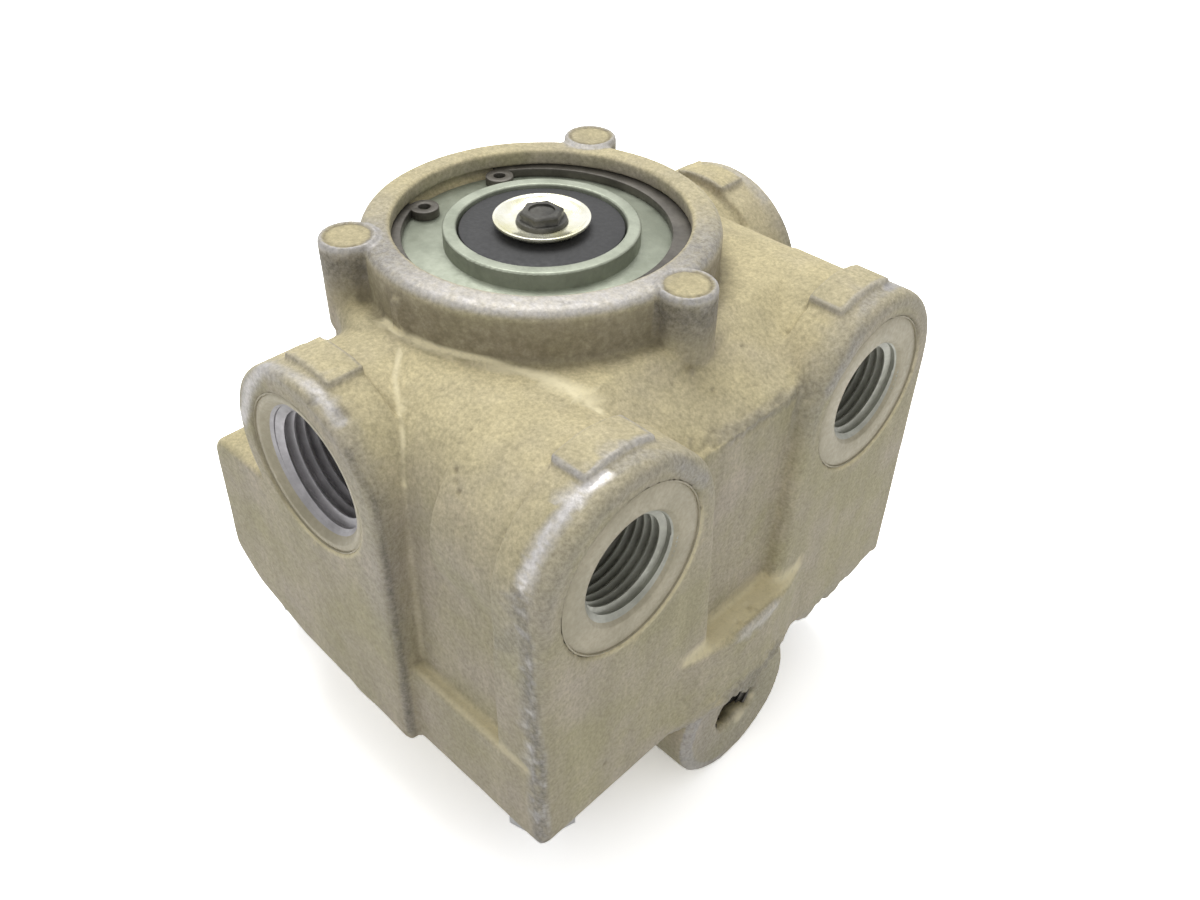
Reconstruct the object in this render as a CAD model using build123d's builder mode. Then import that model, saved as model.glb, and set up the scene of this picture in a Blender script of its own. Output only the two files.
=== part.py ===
from build123d import *
import os
from math import cos, radians, sin, tan

os.makedirs("parts", exist_ok=True)

# Heights above the surface that the valve stands on, exhaust end up
joint_z = 21.0
ledge_z = 38.3
shoulder_z = 60.0
port_z = 68.9
slope_low_z = 76.5
deck_z = 85.2
tube_top_z = 92.2
ring_top_z = 93.6
post_top_z = 94.2

# Body casting, seen from above: +X carries the delivery ports, both Y sides the supply ports
flange_r = 49.9
flange_side_ledge = 0.3
flange_front_x = 46.1
flange_back_x = -28.0
drum_r = 45.8
neck_r = 35.0
neck_edge_r = 3.0
housing_x = 44.1
housing_start_x = -4.0
housing_half_width = 43.8
housing_top_half_width = 42.2
housing_corner_r = 14.0
slope_start_x = 30.0
casting_draft = 2.6
corner_r = 4.0
drum_edge_r = 4.0
edge_r = 1.2

# Supply ports, half inch taper pipe thread
supply_face_y = 48.4
supply_boss_r = 17.4
supply_band_depth = 9.3
supply_barrel_r = 16.3
supply_block_depth = 27.0
supply_shoulder_x = -29.7
supply_corner_x = -31.4
supply_corner_z = 33.6
supply_bevel_x = -25.4
supply_bevel_z = 27.8
supply_sole_x = -12.0
supply_sole_z = 23.6
supply_spot_r = 13.1
supply_mouth_r = 11.9
supply_thread_r = 10.6
supply_thread_length = 16.0
supply_passage_r = 8.6

# Delivery ports, three eighths inch taper pipe thread
delivery_face_x = 47.3
delivery_y = 28.1
delivery_boss_r = 17.6
delivery_band_depth = 9.6
delivery_barrel_r = 16.5
delivery_barrel_end_x = 24.0
delivery_foot_y = 7.7
delivery_edge_r = 1.8
delivery_spot_r = 13.4
delivery_mouth_r = 9.0
delivery_thread_r = 8.6
delivery_thread_length = 14.0
delivery_passage_r = 7.4
delivery_passage_end_x = 17.0
riser_x = 21.0
riser_y = 24.0
riser_r = 6.4
spot_depth = 0.5

# Name pads on the four port barrels, left bare
supply_pad_length = 10.6
supply_pad_width = 6.0
supply_pad_setback = 3.4
delivery_pad_length = 13.0
delivery_pad_width = 6.5
delivery_pad_setback = 3.8
delivery_pad_shift = 0.6
pad_height = 1.0

# Ring, posts and exhaust bore
ring_r = 28.5
exhaust_bore_r = 23.6
cover_seat_z = 80.0
cover_flange_top_z = 89.3
ring_lip_chamfer = 0.3
ring_edge_r = 1.8
ring_rib_angle = 270.0
ring_rib_width = 2.0
ring_rib_reach = 0.9
ring_rib_top_z = 90.6
post_circle_r = 30.0
post_r = 4.6
post_count = 3
post_foot_z = 79.0
post_flat_r = 3.5
post_flat_depth = 0.3
post_edge_r = 0.8

# Chambers inside the body
piston_bore_r = 41.0
piston_bore_end_z = 41.0
delivery_chamber_r = 37.5
web_low_z = 50.0
web_top_z = 54.5
inlet_seat_z = 57.0
inlet_seat_r = 10.5
inlet_seat_width = 2.0
supply_chamber_r = 19.0

# Travel of the moving pieces
valve_lift = 2.4
exhaust_gap = 1.5
seat_clearance = 0.1
piston_travel = valve_lift + exhaust_gap - seat_clearance

# Clearances
slide_clearance = 0.06
piston_clearance = 0.3
ring_clearance = 0.05
location_clearance = 0.15
rest_gap = 0.3

# Control cover
cover_plate_thickness = 8.0
cover_plate_r = 45.6
cover_plate_chamfer = 2.0
cover_pan_r = 32.0
cover_pan_draft = 4.0
cover_floor = 5.0
cover_cavity_r = 26.0
control_face_x = 48.5
control_boss_r = 14.2
control_boss_chamfer = 1.0
control_z = 14.3
control_mouth_r = 5.6
control_thread_r = 5.15
control_thread_length = 9.0
control_passage_r = 3.6

# Cover screws, quarter inch hex cap screws from below with split washers
screw_count = 4
screw_first_angle = 45.0
screw_hole_wall = 2.275
screw_r = 3.175
screw_length = 22.0
screw_tip_room = 2.0
screw_head_flats = 11.1
screw_head_height = 4.2
screw_head_chamfer = 0.6
screw_lug_r = 6.8
lock_washer_r = 6.2
lock_washer_height = 1.6
lock_washer_gap = 1.4

# Cover seal, in a groove between the piston bore and the screws
seal_wall = 1.1
seal_section_r = 1.05

# Piston
piston_rim_top = 12.0
piston_rim_wall = 2.0
piston_plate_low = 4.0
piston_plate_thickness = 5.0
piston_skirt_r = 33.0
piston_stem_r = 8.2
piston_seat_width = 1.4
piston_seat_depth = 3.5
piston_foot_r = 9.0
piston_ring_section_r = 1.765
piston_ring_z = 6.0

# Piston spring and valve spring
piston_spring_r = 16.0
piston_spring_wire_r = 0.9
piston_spring_turns = 4.5
valve_spring_r = 12.0
valve_spring_wire_r = 0.75
valve_spring_turns = 5.5

# Valve
valve_stem_r = 8.0
valve_stem_chamfer = 0.6
valve_bore_r = 5.6
valve_plate_r = 13.0
valve_plate_thickness = 1.8
valve_rubber_thickness = 2.5
valve_rubber_bore_r = 5.8
valve_stem_top_z = 78.0
retainer_wall = 0.95
retainer_overlap = 2.4
retainer_bottom_setback = 0.6

# Exhaust cover
guide_bottom_z = 66.0
guide_r = 10.8
guide_ring_z = 71.2
guide_ring_section_r = 0.8
outer_ring_z = 84.2
outer_ring_section_r = 1.2
tube_r = 15.7
tube_bore_r = 13.5
tube_lip_r = 0.35
spider_low_z = 84.0
spider_top_z = 88.0
spider_hub_r = 5.0
exhaust_throat_r = 9.9
exhaust_throat_z = 81.0
window_count = 6
window_r = 2.0
window_circle_r = 7.5
diaphragm_seat_r = 10.8
diaphragm_seat_width = 1.1

# Diaphragm, dished washer and screw
diaphragm_z = 89.6
diaphragm_thickness = 2.0
dish_r = 7.75
dish_flat_r = 4.6
dish_rise = 1.4
dish_thickness = 0.8
diaphragm_screw_r = 2.5
diaphragm_screw_low_z = 82.5
diaphragm_head_flats = 6.2
diaphragm_head_height = 1.3
diaphragm_head_chamfer = 0.3
diaphragm_flange_r = 4.2
diaphragm_flange_height = 0.7
diaphragm_flange_taper = 20.0
diaphragm_dimple_r = 2.1
diaphragm_dimple_depth = 0.4

# Retaining ring
retaining_thickness = 1.5
retaining_inner_r = 21.5
retaining_shift = 1.1
retaining_groove_depth = 1.2
retaining_lug_angle = 157.0
retaining_lug_r = 21.0
retaining_eye_r = 2.4
retaining_eye_hole_r = 1.0
seat_washer_r = 16.0
seat_washer_thickness = 1.0


# Values worked out from the sizes above
flange_half_width = drum_r + flange_side_ledge
cover_plate_low_z = joint_z - cover_plate_thickness
screw_seat_z = cover_plate_low_z - lock_washer_height
screw_hole_r = screw_r + ring_clearance
screw_hole_depth = screw_length - cover_plate_thickness - lock_washer_height + screw_tip_room
supply_mouth_depth = supply_mouth_r - supply_thread_r
delivery_mouth_depth = delivery_mouth_r - delivery_thread_r
control_mouth_depth = control_mouth_r - control_thread_r
seal_groove_half = seal_section_r + location_clearance
seal_r = piston_bore_r + seal_wall + seal_groove_half
screw_circle_r = seal_r + seal_groove_half + screw_hole_wall + screw_hole_r
seal_groove_depth = 2 * seal_section_r + ring_clearance
retaining_groove_r = exhaust_bore_r + retaining_groove_depth
retaining_top_z = cover_flange_top_z + retaining_thickness
piston_low_z = joint_z + rest_gap
piston_r = piston_bore_r - piston_clearance
piston_seat_z = inlet_seat_z - exhaust_gap
guide_bore_r = valve_stem_r + slide_clearance
valve_plate_low_z = inlet_seat_z + valve_rubber_thickness
valve_plate_top_z = valve_plate_low_z + valve_plate_thickness
retainer_top_z = valve_plate_top_z + retainer_wall
diaphragm_r = tube_bore_r - rest_gap
dish_z = diaphragm_z + diaphragm_thickness
head_seat_z = dish_z + dish_thickness


# Supply port block: boss band, smaller barrel behind it and a low shoulder on the -X side
with BuildPart() as supply_block:
    for start_y, boss_r, depth in (
        (supply_face_y, supply_boss_r, supply_band_depth),
        (supply_face_y - supply_band_depth, supply_barrel_r, supply_block_depth - supply_band_depth),
    ):
        with BuildSketch(Plane.XZ.offset(start_y)) as supply_plan:
            with BuildLine():
                Polyline(
                    (0, port_z),
                    (supply_boss_r, port_z),
                    (supply_boss_r, joint_z),
                    (supply_sole_x, supply_sole_z),
                    (supply_bevel_x, supply_bevel_z),
                    (supply_corner_x, supply_corner_z),
                    (supply_shoulder_x, shoulder_z),
                    (0, shoulder_z),
                    close=True,
                )
            make_face()
            fillet(supply_plan.vertices().sort_by(Axis.X)[:3], corner_r)
            with Locations((0, port_z)):
                Circle(boss_r)
        extrude(amount=-depth)
    front = supply_block.faces().sort_by(Axis.Y)[0]
    fillet(front.outer_wire().edges(), edge_r)

with BuildPart() as supply_pad:
    with BuildSketch(Plane.XZ.offset(supply_face_y - supply_pad_setback)):
        with Locations((0, port_z)):
            Circle(supply_boss_r + pad_height)
            Circle(supply_boss_r - pad_height, mode=Mode.SUBTRACT)
        with Locations((0, port_z + supply_boss_r)):
            Rectangle(supply_pad_length, supply_boss_r, mode=Mode.INTERSECT)
    extrude(amount=-supply_pad_width)

# Delivery port block: boss band with a leg down to the joint, smaller barrel behind it
with BuildPart() as delivery_block:
    with BuildSketch(Plane.YZ.offset(delivery_face_x)):
        with Locations((-delivery_y, port_z)):
            Circle(delivery_boss_r)
        with BuildLine():
            Polyline(
                (-delivery_y - delivery_boss_r, port_z),
                (-delivery_y + delivery_boss_r, port_z),
                (-delivery_foot_y, joint_z),
                (-flange_half_width, joint_z),
                close=True,
            )
        make_face()
    extrude(amount=-delivery_band_depth)
    front = delivery_block.faces().sort_by(Axis.X)[-1]
    fillet(front.outer_wire().edges(), delivery_edge_r)
    with BuildSketch(Plane.YZ.offset(delivery_barrel_end_x)):
        with Locations((-delivery_y, port_z)):
            Circle(delivery_barrel_r)
    extrude(amount=delivery_face_x - delivery_band_depth - delivery_barrel_end_x)

with BuildPart() as delivery_pad:
    with BuildSketch(Plane.YZ.offset(delivery_face_x - delivery_pad_setback)):
        with Locations((-delivery_y, port_z)):
            Circle(delivery_boss_r + pad_height)
            Circle(delivery_boss_r - pad_height, mode=Mode.SUBTRACT)
        with Locations((delivery_pad_shift - delivery_y, port_z + delivery_boss_r)):
            Rectangle(delivery_pad_length, delivery_boss_r, mode=Mode.INTERSECT)
    extrude(amount=-delivery_pad_width)

# Neck under the ring, rounded where it meets the sloped deck
with BuildPart() as neck:
    with BuildSketch(Plane.XY.offset(shoulder_z - drum_edge_r)):
        Circle(neck_r)
    extrude(amount=deck_z - shoulder_z + drum_edge_r, taper=casting_draft)
    fillet(neck.faces().sort_by(Axis.Z)[-1].outer_wire().edges(), neck_edge_r)

# Ring and the posts on it, with rounded upper edges
with BuildPart() as ring:
    with BuildSketch(Plane.XY.offset(post_foot_z)):
        Circle(ring_r)
    extrude(amount=ring_top_z - post_foot_z)
    fillet(ring.faces().sort_by(Axis.Z)[-1].edges(), ring_edge_r)

with BuildPart() as posts:
    with BuildSketch(Plane.XY.offset(post_foot_z)):
        with PolarLocations(post_circle_r, post_count):
            Circle(post_r)
    extrude(amount=post_top_z - post_foot_z)
    fillet(posts.edges().group_by(Axis.Z)[-1], post_edge_r)
    with BuildSketch(Plane.XY.offset(post_top_z)):
        with PolarLocations(post_circle_r, post_count):
            Circle(post_flat_r)
    extrude(amount=-post_flat_depth, mode=Mode.SUBTRACT)

# Body casting
with BuildPart() as body:
    with BuildSketch(Plane.XY.offset(joint_z)):
        Circle(flange_r)
        Rectangle(2 * flange_r, 2 * flange_half_width, mode=Mode.INTERSECT)
        with BuildLine():
            FilletPolyline(
                (flange_back_x, -flange_half_width),
                (flange_front_x, -flange_half_width),
                (flange_front_x, flange_half_width),
                (flange_back_x, flange_half_width),
                radius=corner_r,
                close=True,
            )
        make_face()
        with PolarLocations(screw_circle_r, screw_count, start_angle=screw_first_angle):
            Circle(screw_lug_r)
    extrude(amount=ledge_z - joint_z)
    fillet(body.faces().sort_by(Axis.Z)[-1].outer_wire().edges(), edge_r)

    with BuildSketch(Plane.XY.offset(ledge_z)):
        Circle(drum_r)
    extrude(amount=shoulder_z - ledge_z, taper=casting_draft)
    fillet(body.faces().sort_by(Axis.Z)[-1].outer_wire().edges(), drum_edge_r)
    with BuildSketch(Plane.XY.offset(ledge_z)):
        with Locations((housing_x + drum_r, 0)):
            Rectangle(2 * drum_r, 2 * drum_r)
    extrude(amount=shoulder_z - ledge_z, mode=Mode.SUBTRACT)

    with BuildSketch(Plane.YZ.offset(housing_start_x)) as housing_profile:
        with BuildLine():
            Polyline(
                (-housing_half_width, ledge_z),
                (-housing_top_half_width, deck_z),
                (housing_top_half_width, deck_z),
                (housing_half_width, ledge_z),
                close=True,
            )
        make_face()
        fillet(housing_profile.vertices().sort_by(Axis.Y)[-2:], housing_corner_r)
    extrude(amount=housing_x - housing_start_x)
    with BuildSketch(Plane.XZ):
        with BuildLine():
            Polyline(
                (slope_start_x, deck_z),
                (housing_x, slope_low_z),
                (housing_x, deck_z),
                close=True,
            )
        make_face()
    extrude(amount=housing_half_width, both=True, mode=Mode.SUBTRACT)

    add(neck.part)
    add(supply_block.part)
    add(supply_block.part.mirror(Plane.XZ))
    add(delivery_block.part)
    add(delivery_block.part.mirror(Plane.XZ))
    add(supply_pad.part)
    add(supply_pad.part.mirror(Plane.XZ))
    add(delivery_pad.part)
    add(delivery_pad.part.mirror(Plane.XZ))

    add(ring.part)
    add(posts.part)
    with BuildSketch(Plane.XY.offset(post_foot_z)):
        with PolarLocations(ring_r, 1, start_angle=ring_rib_angle):
            Rectangle(2 * ring_rib_reach, ring_rib_width)
    extrude(amount=ring_rib_top_z - post_foot_z)

    # Piston bore, both chambers, inlet seat and exhaust bore
    with BuildSketch(Plane.XZ):
        with BuildLine():
            Polyline(
                (0, joint_z),
                (piston_bore_r, joint_z),
                (piston_bore_r, piston_bore_end_z),
                (delivery_chamber_r, piston_bore_end_z + piston_bore_r - delivery_chamber_r),
                (delivery_chamber_r, web_low_z),
                (inlet_seat_r, web_low_z),
                (inlet_seat_r, inlet_seat_z),
                (inlet_seat_r + inlet_seat_width, inlet_seat_z),
                (inlet_seat_r + inlet_seat_width, web_top_z),
                (supply_chamber_r, web_top_z),
                (supply_chamber_r, cover_seat_z),
                (exhaust_bore_r, cover_seat_z),
                (exhaust_bore_r, cover_flange_top_z),
                (retaining_groove_r, cover_flange_top_z),
                (retaining_groove_r, retaining_top_z + ring_clearance),
                (exhaust_bore_r, retaining_top_z + ring_clearance),
                (exhaust_bore_r, ring_top_z - ring_lip_chamfer),
                (exhaust_bore_r + ring_lip_chamfer, ring_top_z),
                (exhaust_bore_r + ring_lip_chamfer, post_top_z),
                (0, post_top_z),
                close=True,
            )
        make_face()
    revolve(axis=Axis.Z, mode=Mode.SUBTRACT)

    with BuildSketch(Plane.XY.offset(joint_z)):
        Circle(seal_r + seal_groove_half)
        Circle(seal_r - seal_groove_half, mode=Mode.SUBTRACT)
    extrude(amount=seal_groove_depth, mode=Mode.SUBTRACT)

    with BuildSketch(Plane.XY.offset(joint_z)):
        with PolarLocations(screw_circle_r, screw_count, start_angle=screw_first_angle):
            Circle(screw_hole_r)
    extrude(amount=screw_hole_depth, mode=Mode.SUBTRACT)

    # Supply ports: spotface, mouth, thread wall and passage to the supply chamber
    for side in (Plane.XZ, Plane.XZ.rotated((0, 0, 180))):
        face = side.offset(supply_face_y)
        with BuildSketch(face):
            with Locations((0, port_z)):
                Circle(supply_spot_r)
        extrude(amount=-spot_depth, mode=Mode.SUBTRACT)
        with BuildSketch(face.offset(-spot_depth)):
            with Locations((0, port_z)):
                Circle(supply_mouth_r)
        with BuildSketch(face.offset(-spot_depth - supply_mouth_depth)):
            with Locations((0, port_z)):
                Circle(supply_thread_r)
        loft(mode=Mode.SUBTRACT)
        with BuildSketch(face.offset(-spot_depth - supply_mouth_depth)):
            with Locations((0, port_z)):
                Circle(supply_thread_r)
        extrude(amount=-supply_thread_length, mode=Mode.SUBTRACT)
        with BuildSketch(face.offset(-spot_depth - supply_mouth_depth)):
            with Locations((0, port_z)):
                Circle(supply_passage_r)
        extrude(amount=-supply_face_y + spot_depth + supply_mouth_depth + supply_passage_r, mode=Mode.SUBTRACT)

    # Delivery ports: the same, with a passage back to a riser from the delivery chamber
    for y in (-delivery_y, delivery_y):
        face = Plane.YZ.offset(delivery_face_x)
        with BuildSketch(face):
            with Locations((y, port_z)):
                Circle(delivery_spot_r)
        extrude(amount=-spot_depth, mode=Mode.SUBTRACT)
        with BuildSketch(face.offset(-spot_depth)):
            with Locations((y, port_z)):
                Circle(delivery_mouth_r)
        with BuildSketch(face.offset(-spot_depth - delivery_mouth_depth)):
            with Locations((y, port_z)):
                Circle(delivery_thread_r)
        loft(mode=Mode.SUBTRACT)
        with BuildSketch(face.offset(-spot_depth - delivery_mouth_depth)):
            with Locations((y, port_z)):
                Circle(delivery_thread_r)
        extrude(amount=-delivery_thread_length, mode=Mode.SUBTRACT)
        with BuildSketch(Plane.YZ.offset(delivery_passage_end_x)):
            with Locations((y, port_z)):
                Circle(delivery_passage_r)
        extrude(amount=delivery_face_x - delivery_passage_end_x - spot_depth, mode=Mode.SUBTRACT)
    with BuildSketch(Plane.XY.offset(web_low_z)):
        with Locations((riser_x, -riser_y), (riser_x, riser_y)):
            Circle(riser_r)
    extrude(amount=port_z - web_low_z, mode=Mode.SUBTRACT)
body.part.label = "body"
export_step(body.part, "parts/body.step")


# Control cover, with the signal port boss towards +X
with BuildPart() as control_cover:
    with BuildSketch(Plane.XY.offset(cover_plate_low_z)):
        Circle(cover_plate_r)
    extrude(amount=cover_plate_thickness)
    chamfer(control_cover.faces().sort_by(Axis.Z)[0].edges(), cover_plate_chamfer)
    with BuildSketch(Plane.XY.offset(cover_plate_low_z)):
        with PolarLocations(screw_circle_r, screw_count, start_angle=screw_first_angle):
            Circle(screw_lug_r)
        with PolarLocations(screw_circle_r / 2, screw_count, start_angle=screw_first_angle):
            Rectangle(screw_circle_r, 2 * screw_lug_r)
    extrude(amount=cover_plate_thickness)
    with BuildSketch(Plane.XY):
        Circle(cover_pan_r - cover_plate_low_z * tan(radians(cover_pan_draft)))
    extrude(amount=cover_plate_low_z, taper=-cover_pan_draft)
    fillet(control_cover.faces().sort_by(Axis.Z)[0].edges(), edge_r)
    with BuildSketch(Plane.YZ.offset(control_face_x)):
        with Locations((0, control_z)):
            Circle(control_boss_r)
        with Locations((0, joint_z + control_boss_r)):
            Rectangle(2 * control_boss_r, 2 * control_boss_r, mode=Mode.SUBTRACT)
    extrude(amount=-control_face_x + cover_pan_r / 2)
    boss_front = control_cover.faces().sort_by(Axis.X)[-1]
    chamfer(boss_front.edges().filter_by(GeomType.CIRCLE), control_boss_chamfer)
    with BuildSketch(Plane.XY.offset(cover_floor)):
        Circle(cover_cavity_r)
    extrude(amount=joint_z - cover_floor, mode=Mode.SUBTRACT)
    with BuildSketch(Plane.XY.offset(cover_plate_low_z)):
        with PolarLocations(screw_circle_r, screw_count, start_angle=screw_first_angle):
            Circle(screw_hole_r)
    extrude(amount=cover_plate_thickness, mode=Mode.SUBTRACT)
    with BuildSketch(Plane.YZ.offset(control_face_x)):
        with Locations((0, control_z)):
            Circle(control_mouth_r)
    with BuildSketch(Plane.YZ.offset(control_face_x - control_mouth_depth)):
        with Locations((0, control_z)):
            Circle(control_thread_r)
    loft(mode=Mode.SUBTRACT)
    with BuildSketch(Plane.YZ.offset(control_face_x - control_mouth_depth)):
        with Locations((0, control_z)):
            Circle(control_thread_r)
    extrude(amount=-control_thread_length, mode=Mode.SUBTRACT)
    with BuildSketch(Plane.YZ.offset(control_face_x - control_mouth_depth)):
        with Locations((0, control_z)):
            Circle(control_passage_r)
    extrude(amount=-control_face_x + cover_cavity_r / 2, mode=Mode.SUBTRACT)
control_cover.part.label = "control_cover"
export_step(control_cover.part, "parts/control_cover.step")


# Cover screws with split washers
with BuildPart() as cover_screws:
    with BuildSketch(Plane.XY.offset(screw_seat_z)):
        with PolarLocations(screw_circle_r, screw_count, start_angle=screw_first_angle):
            RegularPolygon(screw_head_flats / 2, 6, major_radius=False)
    extrude(amount=-screw_head_height)
    low_faces = cover_screws.faces().sort_by(Axis.Z)[:screw_count]
    chamfer([edge for low_face in low_faces for edge in low_face.edges()], screw_head_chamfer)
    with BuildSketch(Plane.XY.offset(screw_seat_z)):
        with PolarLocations(screw_circle_r, screw_count, start_angle=screw_first_angle):
            Circle(screw_r)
    extrude(amount=screw_length)
cover_screws.part.label = "cover_screws"
export_step(cover_screws.part, "parts/cover_screws.step")

with BuildPart() as cover_lock_washers:
    with BuildSketch(Plane.XY.offset(screw_seat_z)):
        with PolarLocations(screw_circle_r, screw_count, start_angle=screw_first_angle):
            Circle(lock_washer_r)
            Circle(screw_hole_r, mode=Mode.SUBTRACT)
        with PolarLocations(screw_circle_r + lock_washer_r, screw_count, start_angle=screw_first_angle):
            Rectangle(lock_washer_r, lock_washer_gap, mode=Mode.SUBTRACT)
    extrude(amount=lock_washer_height)
cover_lock_washers.part.label = "cover_lock_washers"
export_step(cover_lock_washers.part, "parts/cover_lock_washers.step")


# Seals
def ring_seal(name, centre_r, section_r, z):
    with BuildPart() as seal:
        with BuildSketch(Plane.XZ):
            with Locations((centre_r, z)):
                Circle(section_r)
        revolve(axis=Axis.Z)
    seal.part.label = name
    export_step(seal.part, "parts/" + name + ".step")
    return seal


cover_seal = ring_seal("cover_seal", seal_r, seal_section_r, joint_z + seal_section_r)
piston_ring_r = piston_bore_r - slide_clearance - piston_ring_section_r
piston_ring_centre_z = piston_low_z + piston_ring_z
piston_ring = ring_seal("piston_ring", piston_ring_r, piston_ring_section_r, piston_ring_centre_z)
guide_ring_r = guide_bore_r + guide_ring_section_r
guide_inner_ring = ring_seal("guide_inner_ring", guide_ring_r, guide_ring_section_r, guide_ring_z)
outer_ring_r = exhaust_bore_r - ring_clearance - outer_ring_section_r
guide_outer_ring = ring_seal("guide_outer_ring", outer_ring_r, outer_ring_section_r, outer_ring_z)


# Piston with its stem, which carries the exhaust seat
plate_low_z = piston_low_z + piston_plate_low
plate_top_z = plate_low_z + piston_plate_thickness
ring_groove_r = piston_ring_r - piston_ring_section_r - ring_clearance
ring_groove_half = piston_ring_section_r + location_clearance
rim_inner_r = ring_groove_r - piston_rim_wall
with BuildPart() as piston:
    with BuildSketch(Plane.XZ):
        with BuildLine():
            Polyline(
                (0, piston_low_z),
                (piston_foot_r, piston_low_z),
                (piston_foot_r, plate_low_z),
                (piston_skirt_r, plate_low_z),
                (piston_skirt_r, piston_low_z),
                (piston_r, piston_low_z),
                (piston_r, piston_ring_centre_z - ring_groove_half),
                (ring_groove_r, piston_ring_centre_z - ring_groove_half),
                (ring_groove_r, piston_ring_centre_z + ring_groove_half),
                (piston_r, piston_ring_centre_z + ring_groove_half),
                (piston_r, piston_low_z + piston_rim_top),
                (rim_inner_r, piston_low_z + piston_rim_top),
                (rim_inner_r, plate_top_z),
                (piston_stem_r, plate_top_z),
                (piston_stem_r, piston_seat_z),
                (piston_stem_r - piston_seat_width, piston_seat_z),
                (piston_stem_r - piston_seat_width, piston_seat_z - piston_seat_depth),
                (0, piston_seat_z - piston_seat_depth),
                close=True,
            )
        make_face()
    revolve(axis=Axis.Z)
    plate_top_edges = piston.edges().filter_by(GeomType.CIRCLE).filter_by_position(
        Axis.Z, plate_top_z, plate_top_z
    )
    stem_foot = plate_top_edges.sort_by(SortBy.RADIUS)[0]
    fillet(stem_foot, piston_spring_r - piston_spring_wire_r - piston_stem_r - rest_gap)
piston.part.label = "piston"
export_step(piston.part, "parts/piston.step")


# Coil springs between two flat seats
def coil_spring(name, coil_r, wire_r, low_z, high_z, turns):
    height = high_z - low_z - 2 * wire_r
    with BuildPart() as spring:
        with BuildLine(Plane.XY.offset(low_z + wire_r)):
            coil = Helix(pitch=height / turns, height=height, radius=coil_r)
        with BuildSketch(Plane(origin=coil @ 0, z_dir=coil % 0)):
            Circle(wire_r)
        sweep(path=coil)
    spring.part.label = name
    export_step(spring.part, "parts/" + name + ".step")
    return spring


piston_spring = coil_spring(
    "piston_spring", piston_spring_r, piston_spring_wire_r,
    plate_top_z + ring_clearance, web_low_z - ring_clearance, piston_spring_turns,
)
seat_washer_low_z = cover_seat_z - seat_washer_thickness
valve_spring = coil_spring(
    "valve_spring", valve_spring_r, valve_spring_wire_r,
    retainer_top_z + ring_clearance, seat_washer_low_z - ring_clearance, valve_spring_turns,
)


# Inlet and exhaust valve: hollow stem, rubber face and crimped retainer
with BuildPart() as valve_stem:
    with BuildSketch(Plane.XZ):
        with BuildLine():
            Polyline(
                (valve_bore_r, valve_plate_low_z),
                (valve_plate_r, valve_plate_low_z),
                (valve_plate_r, valve_plate_top_z),
                (valve_stem_r, valve_plate_top_z),
                (valve_stem_r, valve_stem_top_z),
                (valve_bore_r, valve_stem_top_z),
                close=True,
            )
        make_face()
    revolve(axis=Axis.Z)
    stem_top = valve_stem.edges().group_by(Axis.Z)[-1].sort_by(SortBy.RADIUS)[-1]
    chamfer(stem_top, valve_stem_chamfer)
valve_stem.part.label = "valve_stem"
export_step(valve_stem.part, "parts/valve_stem.step")

with BuildPart() as valve_rubber:
    with BuildSketch(Plane.XY.offset(inlet_seat_z)):
        Circle(valve_plate_r)
        Circle(valve_rubber_bore_r, mode=Mode.SUBTRACT)
    extrude(amount=valve_rubber_thickness)
valve_rubber.part.label = "valve_rubber"
export_step(valve_rubber.part, "parts/valve_rubber.step")

retainer_bore_r = valve_plate_r + ring_clearance
with BuildPart() as valve_retainer:
    with BuildSketch(Plane.XZ):
        with BuildLine():
            Polyline(
                (retainer_bore_r, inlet_seat_z + retainer_bottom_setback),
                (retainer_bore_r + retainer_wall, inlet_seat_z + retainer_bottom_setback),
                (retainer_bore_r + retainer_wall, retainer_top_z),
                (retainer_bore_r - retainer_overlap, retainer_top_z),
                (retainer_bore_r - retainer_overlap, valve_plate_top_z),
                (retainer_bore_r, valve_plate_top_z),
                close=True,
            )
        make_face()
    revolve(axis=Axis.Z)
valve_retainer.part.label = "valve_retainer"
export_step(valve_retainer.part, "parts/valve_retainer.step")

with BuildPart() as spring_seat_washer:
    with BuildSketch(Plane.XY.offset(seat_washer_low_z)):
        Circle(seat_washer_r)
        Circle(guide_r + location_clearance, mode=Mode.SUBTRACT)
    extrude(amount=seat_washer_thickness)
spring_seat_washer.part.label = "spring_seat_washer"
export_step(spring_seat_washer.part, "parts/spring_seat_washer.step")


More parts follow.
